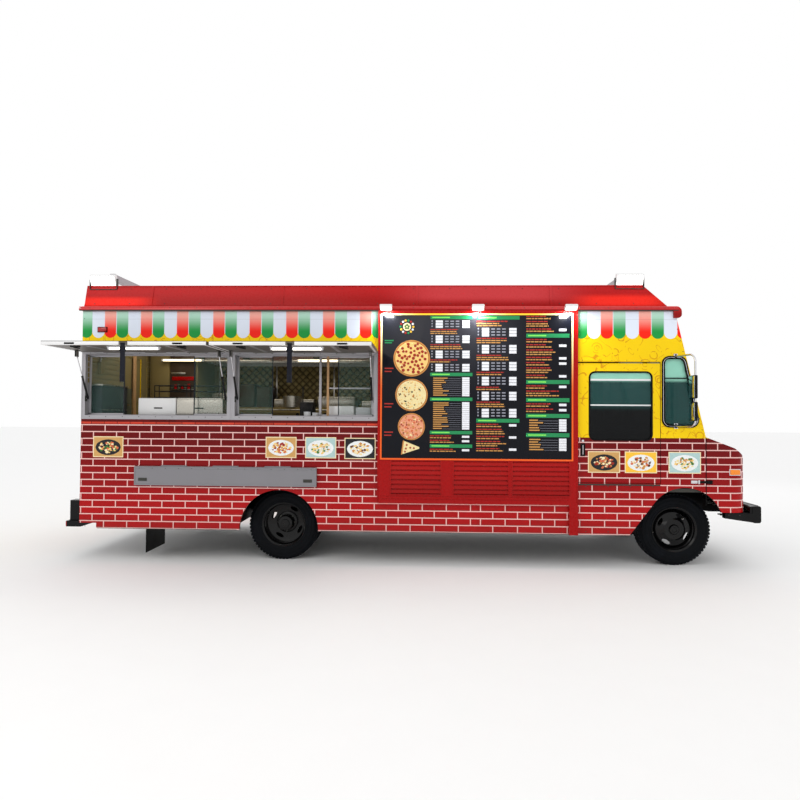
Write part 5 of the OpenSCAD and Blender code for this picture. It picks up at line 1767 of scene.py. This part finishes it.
def buildCabInside():
    bm = newMesh()
    # dials, vents and a shelf on the dashboard
    for reach, radius in ((0.52, 0.038), (0.64, 0.048), (0.76, 0.038)):
        addRod(bm, (3.085, midY + reach, 1.405), (3.071, midY + reach, 1.405), radius, 1, radius * 0.92, 24)
        addRod(bm, (3.072, midY + reach, 1.405), (3.067, midY + reach, 1.405), radius * 0.82, 2, None, 24)
    for reach in (-0.95, -0.35, 0.25, 0.98):
        addBox(bm, (3.068, midY + reach - 0.060, 1.375), (3.084, midY + reach + 0.060, 1.430), 0, 0.005)
        for z in spread(1.385, 1.420, 4):
            addBox(bm, (3.064, midY + reach - 0.052, z - 0.002), (3.071, midY + reach + 0.052, z + 0.002),
                   2)
    addBox(bm, (3.066, midY - 0.90, 1.320), (3.084, midY - 0.42, 1.362), 0, 0.006)
    addRod(bm, (3.060, midY - 0.66, 1.341), (3.068, midY - 0.66, 1.341), 0.012, 1)
    # column, pedals, lever and the box over the engine
    addRod(bm, (2.815, midY + 0.640, 1.580), (3.110, midY + 0.640, 1.380), 0.034, 0)
    addRod(bm, (2.880, midY + 0.655, 1.560), (2.880, midY + 0.800, 1.590), 0.006, 0)
    for reach in (0.50, 0.62, 0.74):
        addRod(bm, (3.140, midY + reach, 1.300), (3.050, midY + reach, 1.020), 0.008, 1)
        addBox(bm, (3.035, midY + reach - 0.035, 0.975), (3.052, midY + reach + 0.035, 1.045), 0, 0.005)
    addBox(bm, (2.900, midY - 0.34, 1.285), (3.080, midY + 0.34, 1.300), 0, 0.005)
    # sun visors, header shelf and the grab rails
    for side in (service, driver):
        sideBox(bm, side, (2.960, 3.020), (0.15, 1.02), (2.600, 2.618), 0, 0.006)
        addRod(bm, (2.900, out(side, 1.128), 1.62), (2.990, out(side, 1.128), 2.22), 0.013, 1)
        for z, x in ((1.62, 2.900), (2.22, 2.990)):
            addRod(bm, (x, out(side, 1.120), z), (x, out(side, 1.160), z), 0.009, 1)
    addPiece("cabFittings", bm, ["trim", "chrome", "menu"], "root")


buildSeats()
buildCabInside()
print("cab inside ready")

# kitchen as seen through the hatches

kitchenSet = {"counterTop": 1.625, "cookTop": 1.800, "hoodLip": 2.430, "wallIn": 1.158, "tube": 0.014}


def buildKitchenWalls():
    k = kitchenSet
    bm = newMesh()
    sideBox(bm, driver, (-2.93, 0.60), (k["wallIn"] - 0.006, k["wallIn"] + 0.001),
            (k["cookTop"] + 0.002, k["hoodLip"] + 0.10), 0, 0.001)
    for x in spread(-2.93, 0.60, 5):
        sideBox(bm, driver, (x - 0.012, x + 0.012), (k["wallIn"] - 0.010, k["wallIn"]),
                (k["cookTop"], k["hoodLip"] + 0.10), 1, 0.002)
    addPiece("quiltedWall", bm, ["quilt", "stainless"], "root")
    bm = newMesh()
    rear = rearX + 0.041
    # ribbed lining of the rear wall beside the door
    for start, end in ((-1.155, -0.41), (0.41, 1.155)):
        for step in range(11):
            z = 2.06 + step * 0.062
            addBox(bm, (rear, midY + start, z), (rear + 0.006, midY + end, z + 0.052), 0, 0.002)
    addBox(bm, (rear, midY - 1.06, 0.94), (rear + 0.130, midY - 0.43, 2.03), 1, 0.006)
    addBox(bm, (rear, midY - 1.07, 2.03), (rear + 0.140, midY - 0.42, 2.048), 2, 0.003)
    for z in (1.45, 1.74):
        addBox(bm, (rear + 0.128, midY - 1.05, z), (rear + 0.133, midY - 0.44, z + 0.006), 2)
    # switch box and a conduit up the corner
    addBox(bm, (rear + 0.004, midY - 0.94, 2.17), (rear + 0.050, midY - 0.85, 2.32), 0, 0.004)
    addRod(bm, (rear + 0.020, midY - 0.895, 2.32), (rear + 0.020, midY - 0.895, 2.80), 0.010, 2)
    addPiece("rearLining", bm, ["cream", "dark", "stainless"], "root")
    bm = newMesh()
    addBox(bm, (rear - 0.001, midY - 0.37, 0.95), (rear + 0.008, midY - 0.06, 2.03), 1, 0.004)
    addBox(bm, (rear - 0.001, midY - 0.030, 0.95), (rear + 0.022, midY + 0.045, 2.62), 0, 0.006)
    addBox(bm, (rear - 0.001, midY + 0.075, 0.95), (rear + 0.008, midY + 0.37, 1.85), 2, 0.004)
    addBox(bm, (rear + 0.004, midY - 0.33, 1.80), (rear + 0.050, midY - 0.20, 1.83), 3, 0.006)
    addPiece("rearDoorLining", bm, ["wood", "darkGreen", "cream", "chrome"], "rear_door")


def buildKitchenUnits():
    k = kitchenSet
    top = k["counterTop"]
    bm = newMesh()
    # low units on the service counter
    addBox(bm, (-3.17, midY - 1.045, top + 0.002), (-2.72, midY - 0.70, 1.885), 1, 0.008)
    addBox(bm, (-2.71, midY - 1.045, top + 0.002), (-2.16, midY - 0.70, 1.880), 0, 0.008)
    addBox(bm, (-2.69, midY - 1.050, 1.868), (-2.18, midY - 0.69, 1.888), 0, 0.004)
    for x in (-2.93, -2.44):
        addBox(bm, (x - 0.05, midY - 1.052, 1.760), (x + 0.05, midY - 1.043, 1.775), 2, 0.003)
    addBox(bm, (-0.92, midY - 1.000, top + 0.002), (-0.62, midY - 0.70, 1.805), 1, 0.006)
    addBox(bm, (-0.60, midY - 0.980, top + 0.002), (-0.42, midY - 0.72, 1.790), 3, 0.010)
    addBox(bm, (-1.27, midY - 0.950, top + 0.002), (-1.11, midY - 0.75, 1.850), 2, 0.012)
    addRod(bm, (-1.235, midY - 0.93, 1.84), (-1.235, midY - 0.93, 2.03), 0.007, 2)
    addRod(bm, (-1.17, midY - 0.99, top + 0.002), (-1.17, midY - 0.99, top + 0.11), 0.036, 3, 0.043, 20)
    addRod(bm, (-1.07, midY - 0.98, top + 0.002), (-1.07, midY - 0.98, top + 0.10), 0.036, 3, 0.043, 20)
    # seams, kick rail and handles of the counter's inner face
    for x in spread(-3.62, -0.42, 7):
        addBox(bm, (x - 0.002, midY - 0.621, 0.98), (x + 0.002, midY - 0.616, 1.58), 2)
    for x in spread(-3.36, -0.68, 6):
        addRod(bm, (x - 0.09, midY - 0.600, 1.52), (x + 0.09, midY - 0.600, 1.52), 0.007, 0)
        for end in (-0.08, 0.08):
            addRod(bm, (x + end, midY - 0.621, 1.52), (x + end, midY - 0.600, 1.52), 0.005, 0)
    addPiece("counterUnits", bm, ["stainless", "whiteMetal", "trim", "whitePlastic"], "root")
    bm = newMesh()
    # wire rack behind the prep unit
    for y in (midY - 0.76, midY - 0.63):
        for z in (1.900, 1.975, 2.045):
            addRod(bm, (-3.10, y, z), (-2.30, y, z), 0.006, 0, sides=8)
        for x in spread(-3.10, -2.30, 3):
            addRod(bm, (x, y, 1.626), (x, y, 2.047), 0.006, 0, sides=8)
    for x in spread(-3.07, -2.33, 16):
        addRod(bm, (x, midY - 0.76, 1.975), (x, midY - 0.63, 1.975), 0.003, 0, sides=6)
    addPiece("counterRack", bm, ["trim"], "root")
    bm = newMesh()
    cook = k["cookTop"]
    for step, (start, end, high) in enumerate(((-2.90, -2.54, 0.20), (-2.50, -2.27, 0.34),
                                               (-2.24, -2.05, 0.30), (-1.98, -1.40, 0.12),
                                               (-1.34, -0.80, 0.16), (-0.7, 0.1, 0.10))):
        addBox(bm, (start, midY + 0.72, cook + 0.002), (end, midY + 1.10, cook + high),
               1 if step in (1, 2) else 0, 0.03 if step == 1 else 0.008)
    for x in spread(-2.80, 0.40, 9):
        addRod(bm, (x, midY + 0.560, 1.70), (x, midY + 0.530, 1.70), 0.022, 2, 0.018, 16)
    addRod(bm, (-2.90, midY + 0.520, 1.765), (0.55, midY + 0.520, 1.765), 0.011, 0)
    for x in (-1.70, -0.35):
        addRevolve(bm, [(0.0, 0.0), (0.13, 0.0), (0.135, 0.16), (0.128, 0.16), (0.124, 0.006),
                        (0.0, 0.006)],
                   (x, midY + 0.66, cook + 0.004), 0, 32, "Z")
    addPiece("cookingLine", bm, ["stainless", "brownPanel", "trim"], "root", merge=0.0002)
    bm = newMesh()
    # cold cabinet: door, shelves of tins and a handle
    front = midY + 0.428
    addBox(bm, (-3.66, front - 0.012, 0.98), (-3.42, front + 0.004, 2.60), 1, 0.006)
    addBox(bm, (-3.40, front - 0.012, 0.98), (-3.03, front + 0.004, 2.60), 0, 0.006)
    addBox(bm, (-3.38, front - 0.016, 2.262), (-3.18, front - 0.008, 2.285), 2, 0.003)
    addBox(bm, (-3.37, front - 0.018, 2.170), (-3.05, front - 0.008, 2.225), 3, 0.004)
    for z in (1.66, 1.90, 2.04):
        addBox(bm, (-3.39, front - 0.015, z), (-3.04, front - 0.008, z + 0.008), 2, 0.002)
    for step in range(7):
        x = -3.36 + step * 0.047
        addRod(bm, (x, front - 0.020, 2.050), (x, front - 0.020, 2.050 + 0.05 + (step % 3) * 0.012), 0.018,
               3 if step % 2 else 4, None, 12)
    addRod(bm, (-3.405, front - 0.030, 1.25), (-3.405, front - 0.030, 1.55), 0.008, 2)
    for z in (1.26, 1.54):
        addRod(bm, (-3.405, front - 0.030, z), (-3.405, front - 0.008, z), 0.006, 2)
    addPiece("coldCabinet", bm, ["brownPanel", "cream", "stainless", "red", "darkGreen"], "root")


def buildKitchenHead():
    k = kitchenSet
    bm = newMesh()
    # filters in the extraction hood and its front lip
    for x in spread(-2.80, -0.95, 5):
        slant = about((x, midY + 0.62, 2.60), 38, "X")
        addBox(bm, (x + 0.01, midY + 0.48, 2.590), (x + 0.43, midY + 0.80, 2.612), 0, 0.004, None, slant)
        for step in range(8):
            addBox(bm, (x + 0.04 + step * 0.048, midY + 0.50, 2.580),
                   (x + 0.06 + step * 0.048, midY + 0.78, 2.592), 1, 0.0, None, slant)
    addBox(bm, (-2.898, midY + 0.372, k["hoodLip"] - 0.004), (-0.452, midY + 0.384, k["hoodLip"] + 0.030),
           0, 0.003)
    for x in (-2.30, -1.30):
        addBox(bm, (x - 0.05, midY + 0.373, 2.47), (x + 0.05, midY + 0.380, 2.53), 1, 0.002)
    # ceiling trims and a cupboard row over the hatches
    for x in spread(-3.4, 1.6, 6):
        addBox(bm, (x, midY - 1.155, roofTop - 0.052), (x + 0.05, midY + 1.155, roofTop - 0.046), 0, 0.001)
    addPiece("hoodFilters", bm, ["stainless", "darkSteel"], "root")
    bm = newMesh()
    for start, end in ((-3.47, -2.93), (-1.55, -1.01)):
        addRod(bm, (start, midY + 0.352, 2.452), (end, midY + 0.352, 2.452), k["tube"], 1)
        addBox(bm, (start - 0.03, midY + 0.366, 2.436), (end + 0.03, midY + 0.380, 2.470), 0, 0.003)
        for x in (start - 0.012, end + 0.012):
            addBox(bm, (x - 0.010, midY + 0.338, 2.436), (x + 0.010, midY + 0.370, 2.468), 0, 0.003)
    addPiece("kitchenTubes", bm, ["whitePlastic", "warmLed"], "root")
    bm = newMesh()
    # fly screen frame in the front hatch
    high = sillZ + 0.75
    for x in (-1.000, -0.912, -0.395):
        addBox(bm, (x - 0.014, midY - 1.100, sillZ + 0.047), (x + 0.014, midY - 1.078, high - 0.002),
               1 if x == -0.912 else 0, 0.003)
    addBox(bm, (-0.898, midY - 1.098, 2.000), (-0.409, midY - 1.080, 2.018), 0, 0.003)
    for z in (sillZ + 0.052, high - 0.022):
        addBox(bm, (-0.986, midY - 1.098, z), (-0.409, midY - 1.080, z + 0.016), 0, 0.003)
    addPiece("flyScreen", bm, ["aluminium", "wood"], "root")


buildKitchenWalls()
buildKitchenUnits()
buildKitchenHead()
print("kitchen ready")

# nose, bumper and chassis

noseX = hoodBox[1].x


noseSet = {"lampReach": 0.790, "lampZ": 0.950, "bezel": 0.135, "grilleReach": 0.575, "grilleLow": 0.791,
           "grilleHigh": 1.144, "barLow": 0.80, "barHigh": 1.10}


def buildNose():
    n = noseSet
    grille = [(-n["grilleReach"], n["grilleLow"]), (n["grilleReach"], n["grilleLow"]),
              (n["grilleReach"], n["grilleHigh"]), (-n["grilleReach"], n["grilleHigh"])]
    bezel = [(-n["bezel"], -n["bezel"]), (n["bezel"], -n["bezel"]), (n["bezel"], n["bezel"]),
             (-n["bezel"], n["bezel"])]
    bm = newMesh()
    for side in (service, driver):
        lampY = out(side, n["lampReach"])
        centre = (noseX - 0.010, lampY, n["lampZ"])
        addRevolve(bm, [(0.080, 0.0), (0.104, 0.0), (0.108, 0.012), (0.100, 0.024), (0.088, 0.020),
                        (0.080, 0.004), (0.080, 0.0)], centre, 0, 48, "X")
        addBall(bm, centre, (0.018, 0.082, 0.082), 1, None, 4)
        sideBox(bm, side, (noseX - 0.006, noseX + 0.014), (0.72, 0.86), (0.790, 0.826), 2, 0.010)
        # bezel plate round the lamp
        corners = [Vector((noseX - 0.002, lampY + dy, n["lampZ"] + dz)) for dy, dz in bezel]
        outline = roundCorners(corners, 0.03)
        addFrame(bm, outline, 0.020, (0.007, 0, 0), 0)
    outline = roundCorners([Vector((noseX - 0.003, midY + dy, z)) for dy, z in grille], 0.025)
    addFrame(bm, outline, 0.022, (0.006, 0, 0), 0)
    for reach in spread(-0.48, 0.48, 5):
        addBox(bm, (noseX - 0.020, midY + reach - 0.006, n["barLow"]),
               (noseX - 0.008, midY + reach + 0.006, n["barHigh"]), 0, 0.002)
    addPiece("noseLamps", bm, ["chrome", "clearLens", "amber"], "hood", merge=0.0002)
    bm = newMesh()
    for side in (service, driver):
        # rubber pull latch, with its metal keeper
        sideBox(bm, side, (3.262, 3.412), (half + 0.002, half + 0.014), (0.966, 0.992), 0, 0.005)
        sideBox(bm, side, (3.352, 3.412), (half - 0.002, half + 0.018), (0.958, 1.000), 0, 0.006)
        sideBox(bm, side, (3.254, 3.272), (half + 0.001, half + 0.016), (0.957, 1.001), 1, 0.003)
    addPiece("hoodLatches", bm, ["gasket", "chrome"], "hood")
    bm = newMesh()
    for side in (service, driver):
        sideBox(bm, side, (3.178, 3.250), (half - 0.001, half + 0.008), (0.962, 0.996), 0, 0.003)
        addScrews(bm, side, (3.192, 3.236), (0.979,), half + 0.008, 0, 0.005)
    addPiece("latchKeepers", bm, ["chrome"], "root")


def buildBumper():
    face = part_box("front_bumper")[1].x
    bm = newMesh()
    addBox(bm, (face - 0.002, midY - 0.158, 0.546), (face + 0.004, midY + 0.158, 0.698), 1, 0.003)
    for reach in (-0.12, 0.12):
        addBall(bm, (face + 0.004, midY + reach, 0.680), (0.003, 0.006, 0.006), 2, steps=1)
    for reach in (-0.95, -0.43, 0.43, 0.95):
        for z in (0.575, 0.668):
            addRod(bm, (face - 0.002, midY + reach, z), (face + 0.007, midY + reach, z), 0.011, 2, None, 6)
    addBox(bm, (face - 0.05, midY - 1.14, 0.712), (face - 0.008, midY + 1.14, 0.719), 0, 0.003)
    # end caps that carry the bumper's curve back under the nose
    for side in (service, driver):
        outline = [Vector((x, out(side, 1.112), z)) for x, z in ((3.640, 0.600), (3.870, 0.545),
                (3.870, 0.712), (3.837, 0.712), (3.831, 0.636), (3.640, 0.636))]
        addPlate(bm, outline, (0, side * 0.064, 0), 0)
        for x in (3.60, 3.72):
            addScrews(bm, side, (x,), (0.612,), 1.181, 2, 0.007)
    for reach in (-0.40, 0.40):
        addTube(bm, bendPath([Vector((face - 0.10, midY + reach - 0.03, 0.500)),
                              Vector((face - 0.02, midY + reach - 0.03, 0.500)),
                              Vector((face - 0.02, midY + reach + 0.03, 0.500)),
                              Vector((face - 0.10, midY + reach + 0.03, 0.500))], 0.025), 0.009, 0)
    addPiece("bumperFittings", bm, ["blackPaint", "whiteMetal", "darkSteel"], "root")


linerSet = {"gap": 0.477, "thick": 0.006, "underFloor": 0.856}


def buildLiners():
    # inner arches: an upright splash plate, a roof under the floor and end flaps
    bm = newMesh()
    k = linerSet
    for side in (service, driver):
        for start, end, low in ((2.66, 3.62, 0.47), (-1.96, -0.955, 0.50)):
            sideBox(bm, side, (start, end), (k["gap"], k["gap"] + k["thick"]), (low, k["underFloor"]), 0,
                    0.002)
            last = min(end, 3.30)
            sideBox(bm, side, (start, last), (k["gap"], 1.158),
                    (k["underFloor"] - 0.002, k["underFloor"] + 0.004), 0, 0.001)
        for x, low in ((-1.935, 0.43), (-0.955, 0.42)):
            sideBox(bm, side, (x - 0.006, x), (k["gap"], 1.156), (low, k["underFloor"]), 0, 0.002)
        sideBox(bm, side, (2.600, 2.606), (0.50, 1.156), (0.45, k["underFloor"]), 0, 0.002)
    addPiece("archLiners", bm, ["gasket"], "root")


def buildChassis():
    bm = newMesh()
    for axle, z in ((frontAxle.x, 0.40), (rearAxle.x, 0.50)):
        for side in (service, driver):
            y = out(side, 0.430)
            for shift in (-0.07, 0.07):
                for offset in (-0.045, 0.045):
                    addRod(bm, (axle + shift, y + offset, z - 0.08), (axle + shift, y + offset, z + 0.08),
                           0.008, 0, None, 8)
                    addRod(bm, (axle + shift, y + offset, z - 0.092), (axle + shift, y + offset, z - 0.078),
                           0.015, 0, None, 6)
            addBox(bm, (axle - 0.10, y - 0.058, z - 0.078), (axle + 0.10, y + 0.058, z - 0.064), 0, 0.003)
    # battery box, air tank and a row of bolts along the rails
    addBox(bm, (1.50, out(service, 1.08), 0.50), (1.80, out(service, 0.60), 0.74), 0, 0.012)
    addBox(bm, (1.48, out(service, 1.10), 0.735), (1.82, out(service, 0.58), 0.757), 0, 0.006)
    addRod(bm, (-2.95, out(driver, 0.62), 0.62), (-2.25, out(driver, 0.62), 0.62), 0.10, 0, None, 32)
    for x in (-2.80, -2.40):
        addBox(bm, (x - 0.02, out(driver, 0.50), 0.712), (x + 0.02, out(driver, 0.74), 0.757), 0, 0.003)
    for x in spread(-3.5, 3.3, 26):
        for side in (service, driver):
            for z in (0.60, 0.72):
                addRod(bm, (x, out(side, 0.466), z), (x, out(side, 0.4755), z), 0.009, 0, None, 6)
    # stays that hold the mud flaps
    for side in (service, driver):
        sideBox(bm, side, (-3.084, -3.074), (0.475, 0.995), (0.718, 0.752), 0, 0.002)
        sideBox(bm, side, (-3.079, -3.0735), (0.49, 0.98), (0.075, 0.088), 0, 0.001)
        addScrews(bm, side, (-3.084,), (0.735,), 0.52, 0, 0.008)
    addPiece("chassisFittings", bm, ["chassis"], "root")


def buildRear():
    face = rearX
    bm = newMesh()
    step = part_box("rear_step")
    for side in (service, driver):
        y = out(side, 1.02)
        addBox(bm, (face - 0.014, y - 0.075, 0.94), (face + 0.002, y + 0.075, 1.42), 0, 0.006)
        for z, mat in ((1.345, 1), (1.180, 2), (1.015, 3)):
            addRod(bm, (face - 0.010, y, z), (face - 0.026, y, z), 0.060, mat, 0.054, 32)
            addRod(bm, (face - 0.012, y, z), (face - 0.020, y, z), 0.066, 0, None, 32)
        addRod(bm, (face - 0.060, out(side, 0.62), 1.20), (face - 0.060, out(side, 0.62), 1.90), 0.014, 4)
        for z in (1.22, 1.88):
            addRod(bm, (face - 0.062, out(side, 0.62), z), (face + 0.002, out(side, 0.62), z), 0.010, 4)
            addRod(bm, (face - 0.008, out(side, 0.62), z), (face + 0.002, out(side, 0.62), z), 0.026, 4,
                   None, 20)
    # blank plate with its lamp, on the service side of the door
    addBox(bm, (face - 0.006, midY - 0.84, 0.90), (face + 0.001, midY - 0.53, 1.06), 5, 0.003)
    addBox(bm, (face - 0.030, midY - 0.72, 1.075), (face + 0.001, midY - 0.65, 1.100), 0, 0.006)
    # drip rail and gasket round the door
    for z in (2.690,):
        addBox(bm, (face - 0.022, midY - 0.44, z), (face + 0.001, midY + 0.44, z + 0.016), 4, 0.004)
    for x in spread(-1.08, 1.08, 9):
        for z in (0.62, 2.82):
            addBall(bm, (face - 0.0005, midY + x, z), (0.004, 0.007, 0.007), 4, steps=1)
    addPiece("rearLights", bm, ["trim", "redLens", "amber", "clearLens", "chrome", "whiteMetal"], "root")
    bm = newMesh()
    outline = roundCorners([Vector((face - 0.0005, midY + dy, z))
                            for dy, z in ((-0.245, 1.885), (-0.245, 2.465), (0.245, 2.465),
                                          (0.245, 1.885))], 0.04)
    addFrame(bm, outline, 0.028, (-0.009, 0, 0), 0)
    addBox(bm, (face - 0.010, midY - 0.375, 1.50), (face + 0.001, midY - 0.315, 1.68), 1, 0.006)
    addRod(bm, (face - 0.008, midY - 0.345, 1.62), (face - 0.040, midY - 0.345, 1.62), 0.010, 1)
    addRod(bm, (face - 0.038, midY - 0.345, 1.62), (face - 0.038, midY - 0.240, 1.60), 0.010, 1)
    for z in (1.02, 1.78, 2.54):
        addRod(bm, (face - 0.006, midY + 0.3999, z - 0.05), (face - 0.006, midY + 0.3999, z + 0.05), 0.008,
               1)
        addBox(bm, (face - 0.0045, midY + 0.31, z - 0.045), (face - 0.0005, midY + 0.398, z + 0.045), 1,
               0.001)
    addPiece("rearDoorFittings", bm, ["gasket", "chrome"], "rear_door")
    bm = newMesh()
    # tread bars and bolts on the step, leaving the ball's hole clear
    for x in spread(step[0].x + 0.020, step[1].x - 0.24 if step[1].x > -3.7 else step[1].x - 0.02, 6):
        for start, end in ((-1.12, -0.09), (0.09, 1.12)):
            addBox(bm, (x - 0.004, midY + start, 0.448), (x + 0.004, midY + end, 0.4525), 0, 0.001)
    for reach in (-1.05, -0.46, 0.46, 1.05):
        addRod(bm, (step[0].x - 0.006, midY + reach, 0.415), (step[0].x + 0.002, midY + reach, 0.415),
               0.012, 1, None, 6)
    for reach in (-1.13, 1.13):
        addBox(bm, (step[0].x - 0.004, midY + reach - 0.022, 0.388),
               (step[0].x + 0.008, midY + reach + 0.022, 0.443), 2, 0.004)
    addPiece("stepTread", bm, ["blackPaint", "darkSteel", "redLens"], "root")


def buildSkirts():
    # screws, a filler cap, an inlet and the folded edges of the long sides
    bm = newMesh()
    for side in (service, driver):
        addScrews(bm, side, spread(-3.70, -2.05, 10) + spread(-0.85, 1.75, 14), (skirtZ + 0.022,),
                  half + 0.0005, 0, 0.005)
        addScrews(bm, side, (rearX + 0.02,), spread(0.55, 2.80, 14), half + 0.0005, 0, 0.005)
        for start, end in ((-3.56, -1.93), (-0.96, 1.90)):
            sideBox(bm, side, (start, end), (half - 0.012, half + 0.001), (skirtZ - 0.002, skirtZ + 0.004),
                    0, 0.001)
    addRod(bm, (0.85, out(driver, half - 0.002), 0.62), (0.85, out(driver, half + 0.012), 0.62), 0.062, 1,
           0.056, 40)
    addRod(bm, (0.85, out(driver, half + 0.010), 0.62), (0.85, out(driver, half + 0.026), 0.62), 0.040, 2,
           0.036, 24)
    sideBox(bm, driver, (-3.30, -3.16), (half - 0.001, half + 0.030), (1.02, 1.20), 1, 0.008)
    sideBox(bm, driver, (-2.70, -2.30), (half - 0.001, half + 0.012), (1.90, 2.20), 1, 0.004)
    for z in spread(1.93, 2.17, 9):
        sideBox(bm, driver, (-2.67, -2.33), (half + 0.010, half + 0.018), (z - 0.006, z + 0.006), 2, 0.002)
    addPiece("sideFittings", bm, ["darkSteel", "aluminium", "trim"], "root")


buildNose()
buildBumper()
buildLiners()
buildChassis()
buildRear()
buildSkirts()
print("ends and chassis ready")


print("pieces ready")
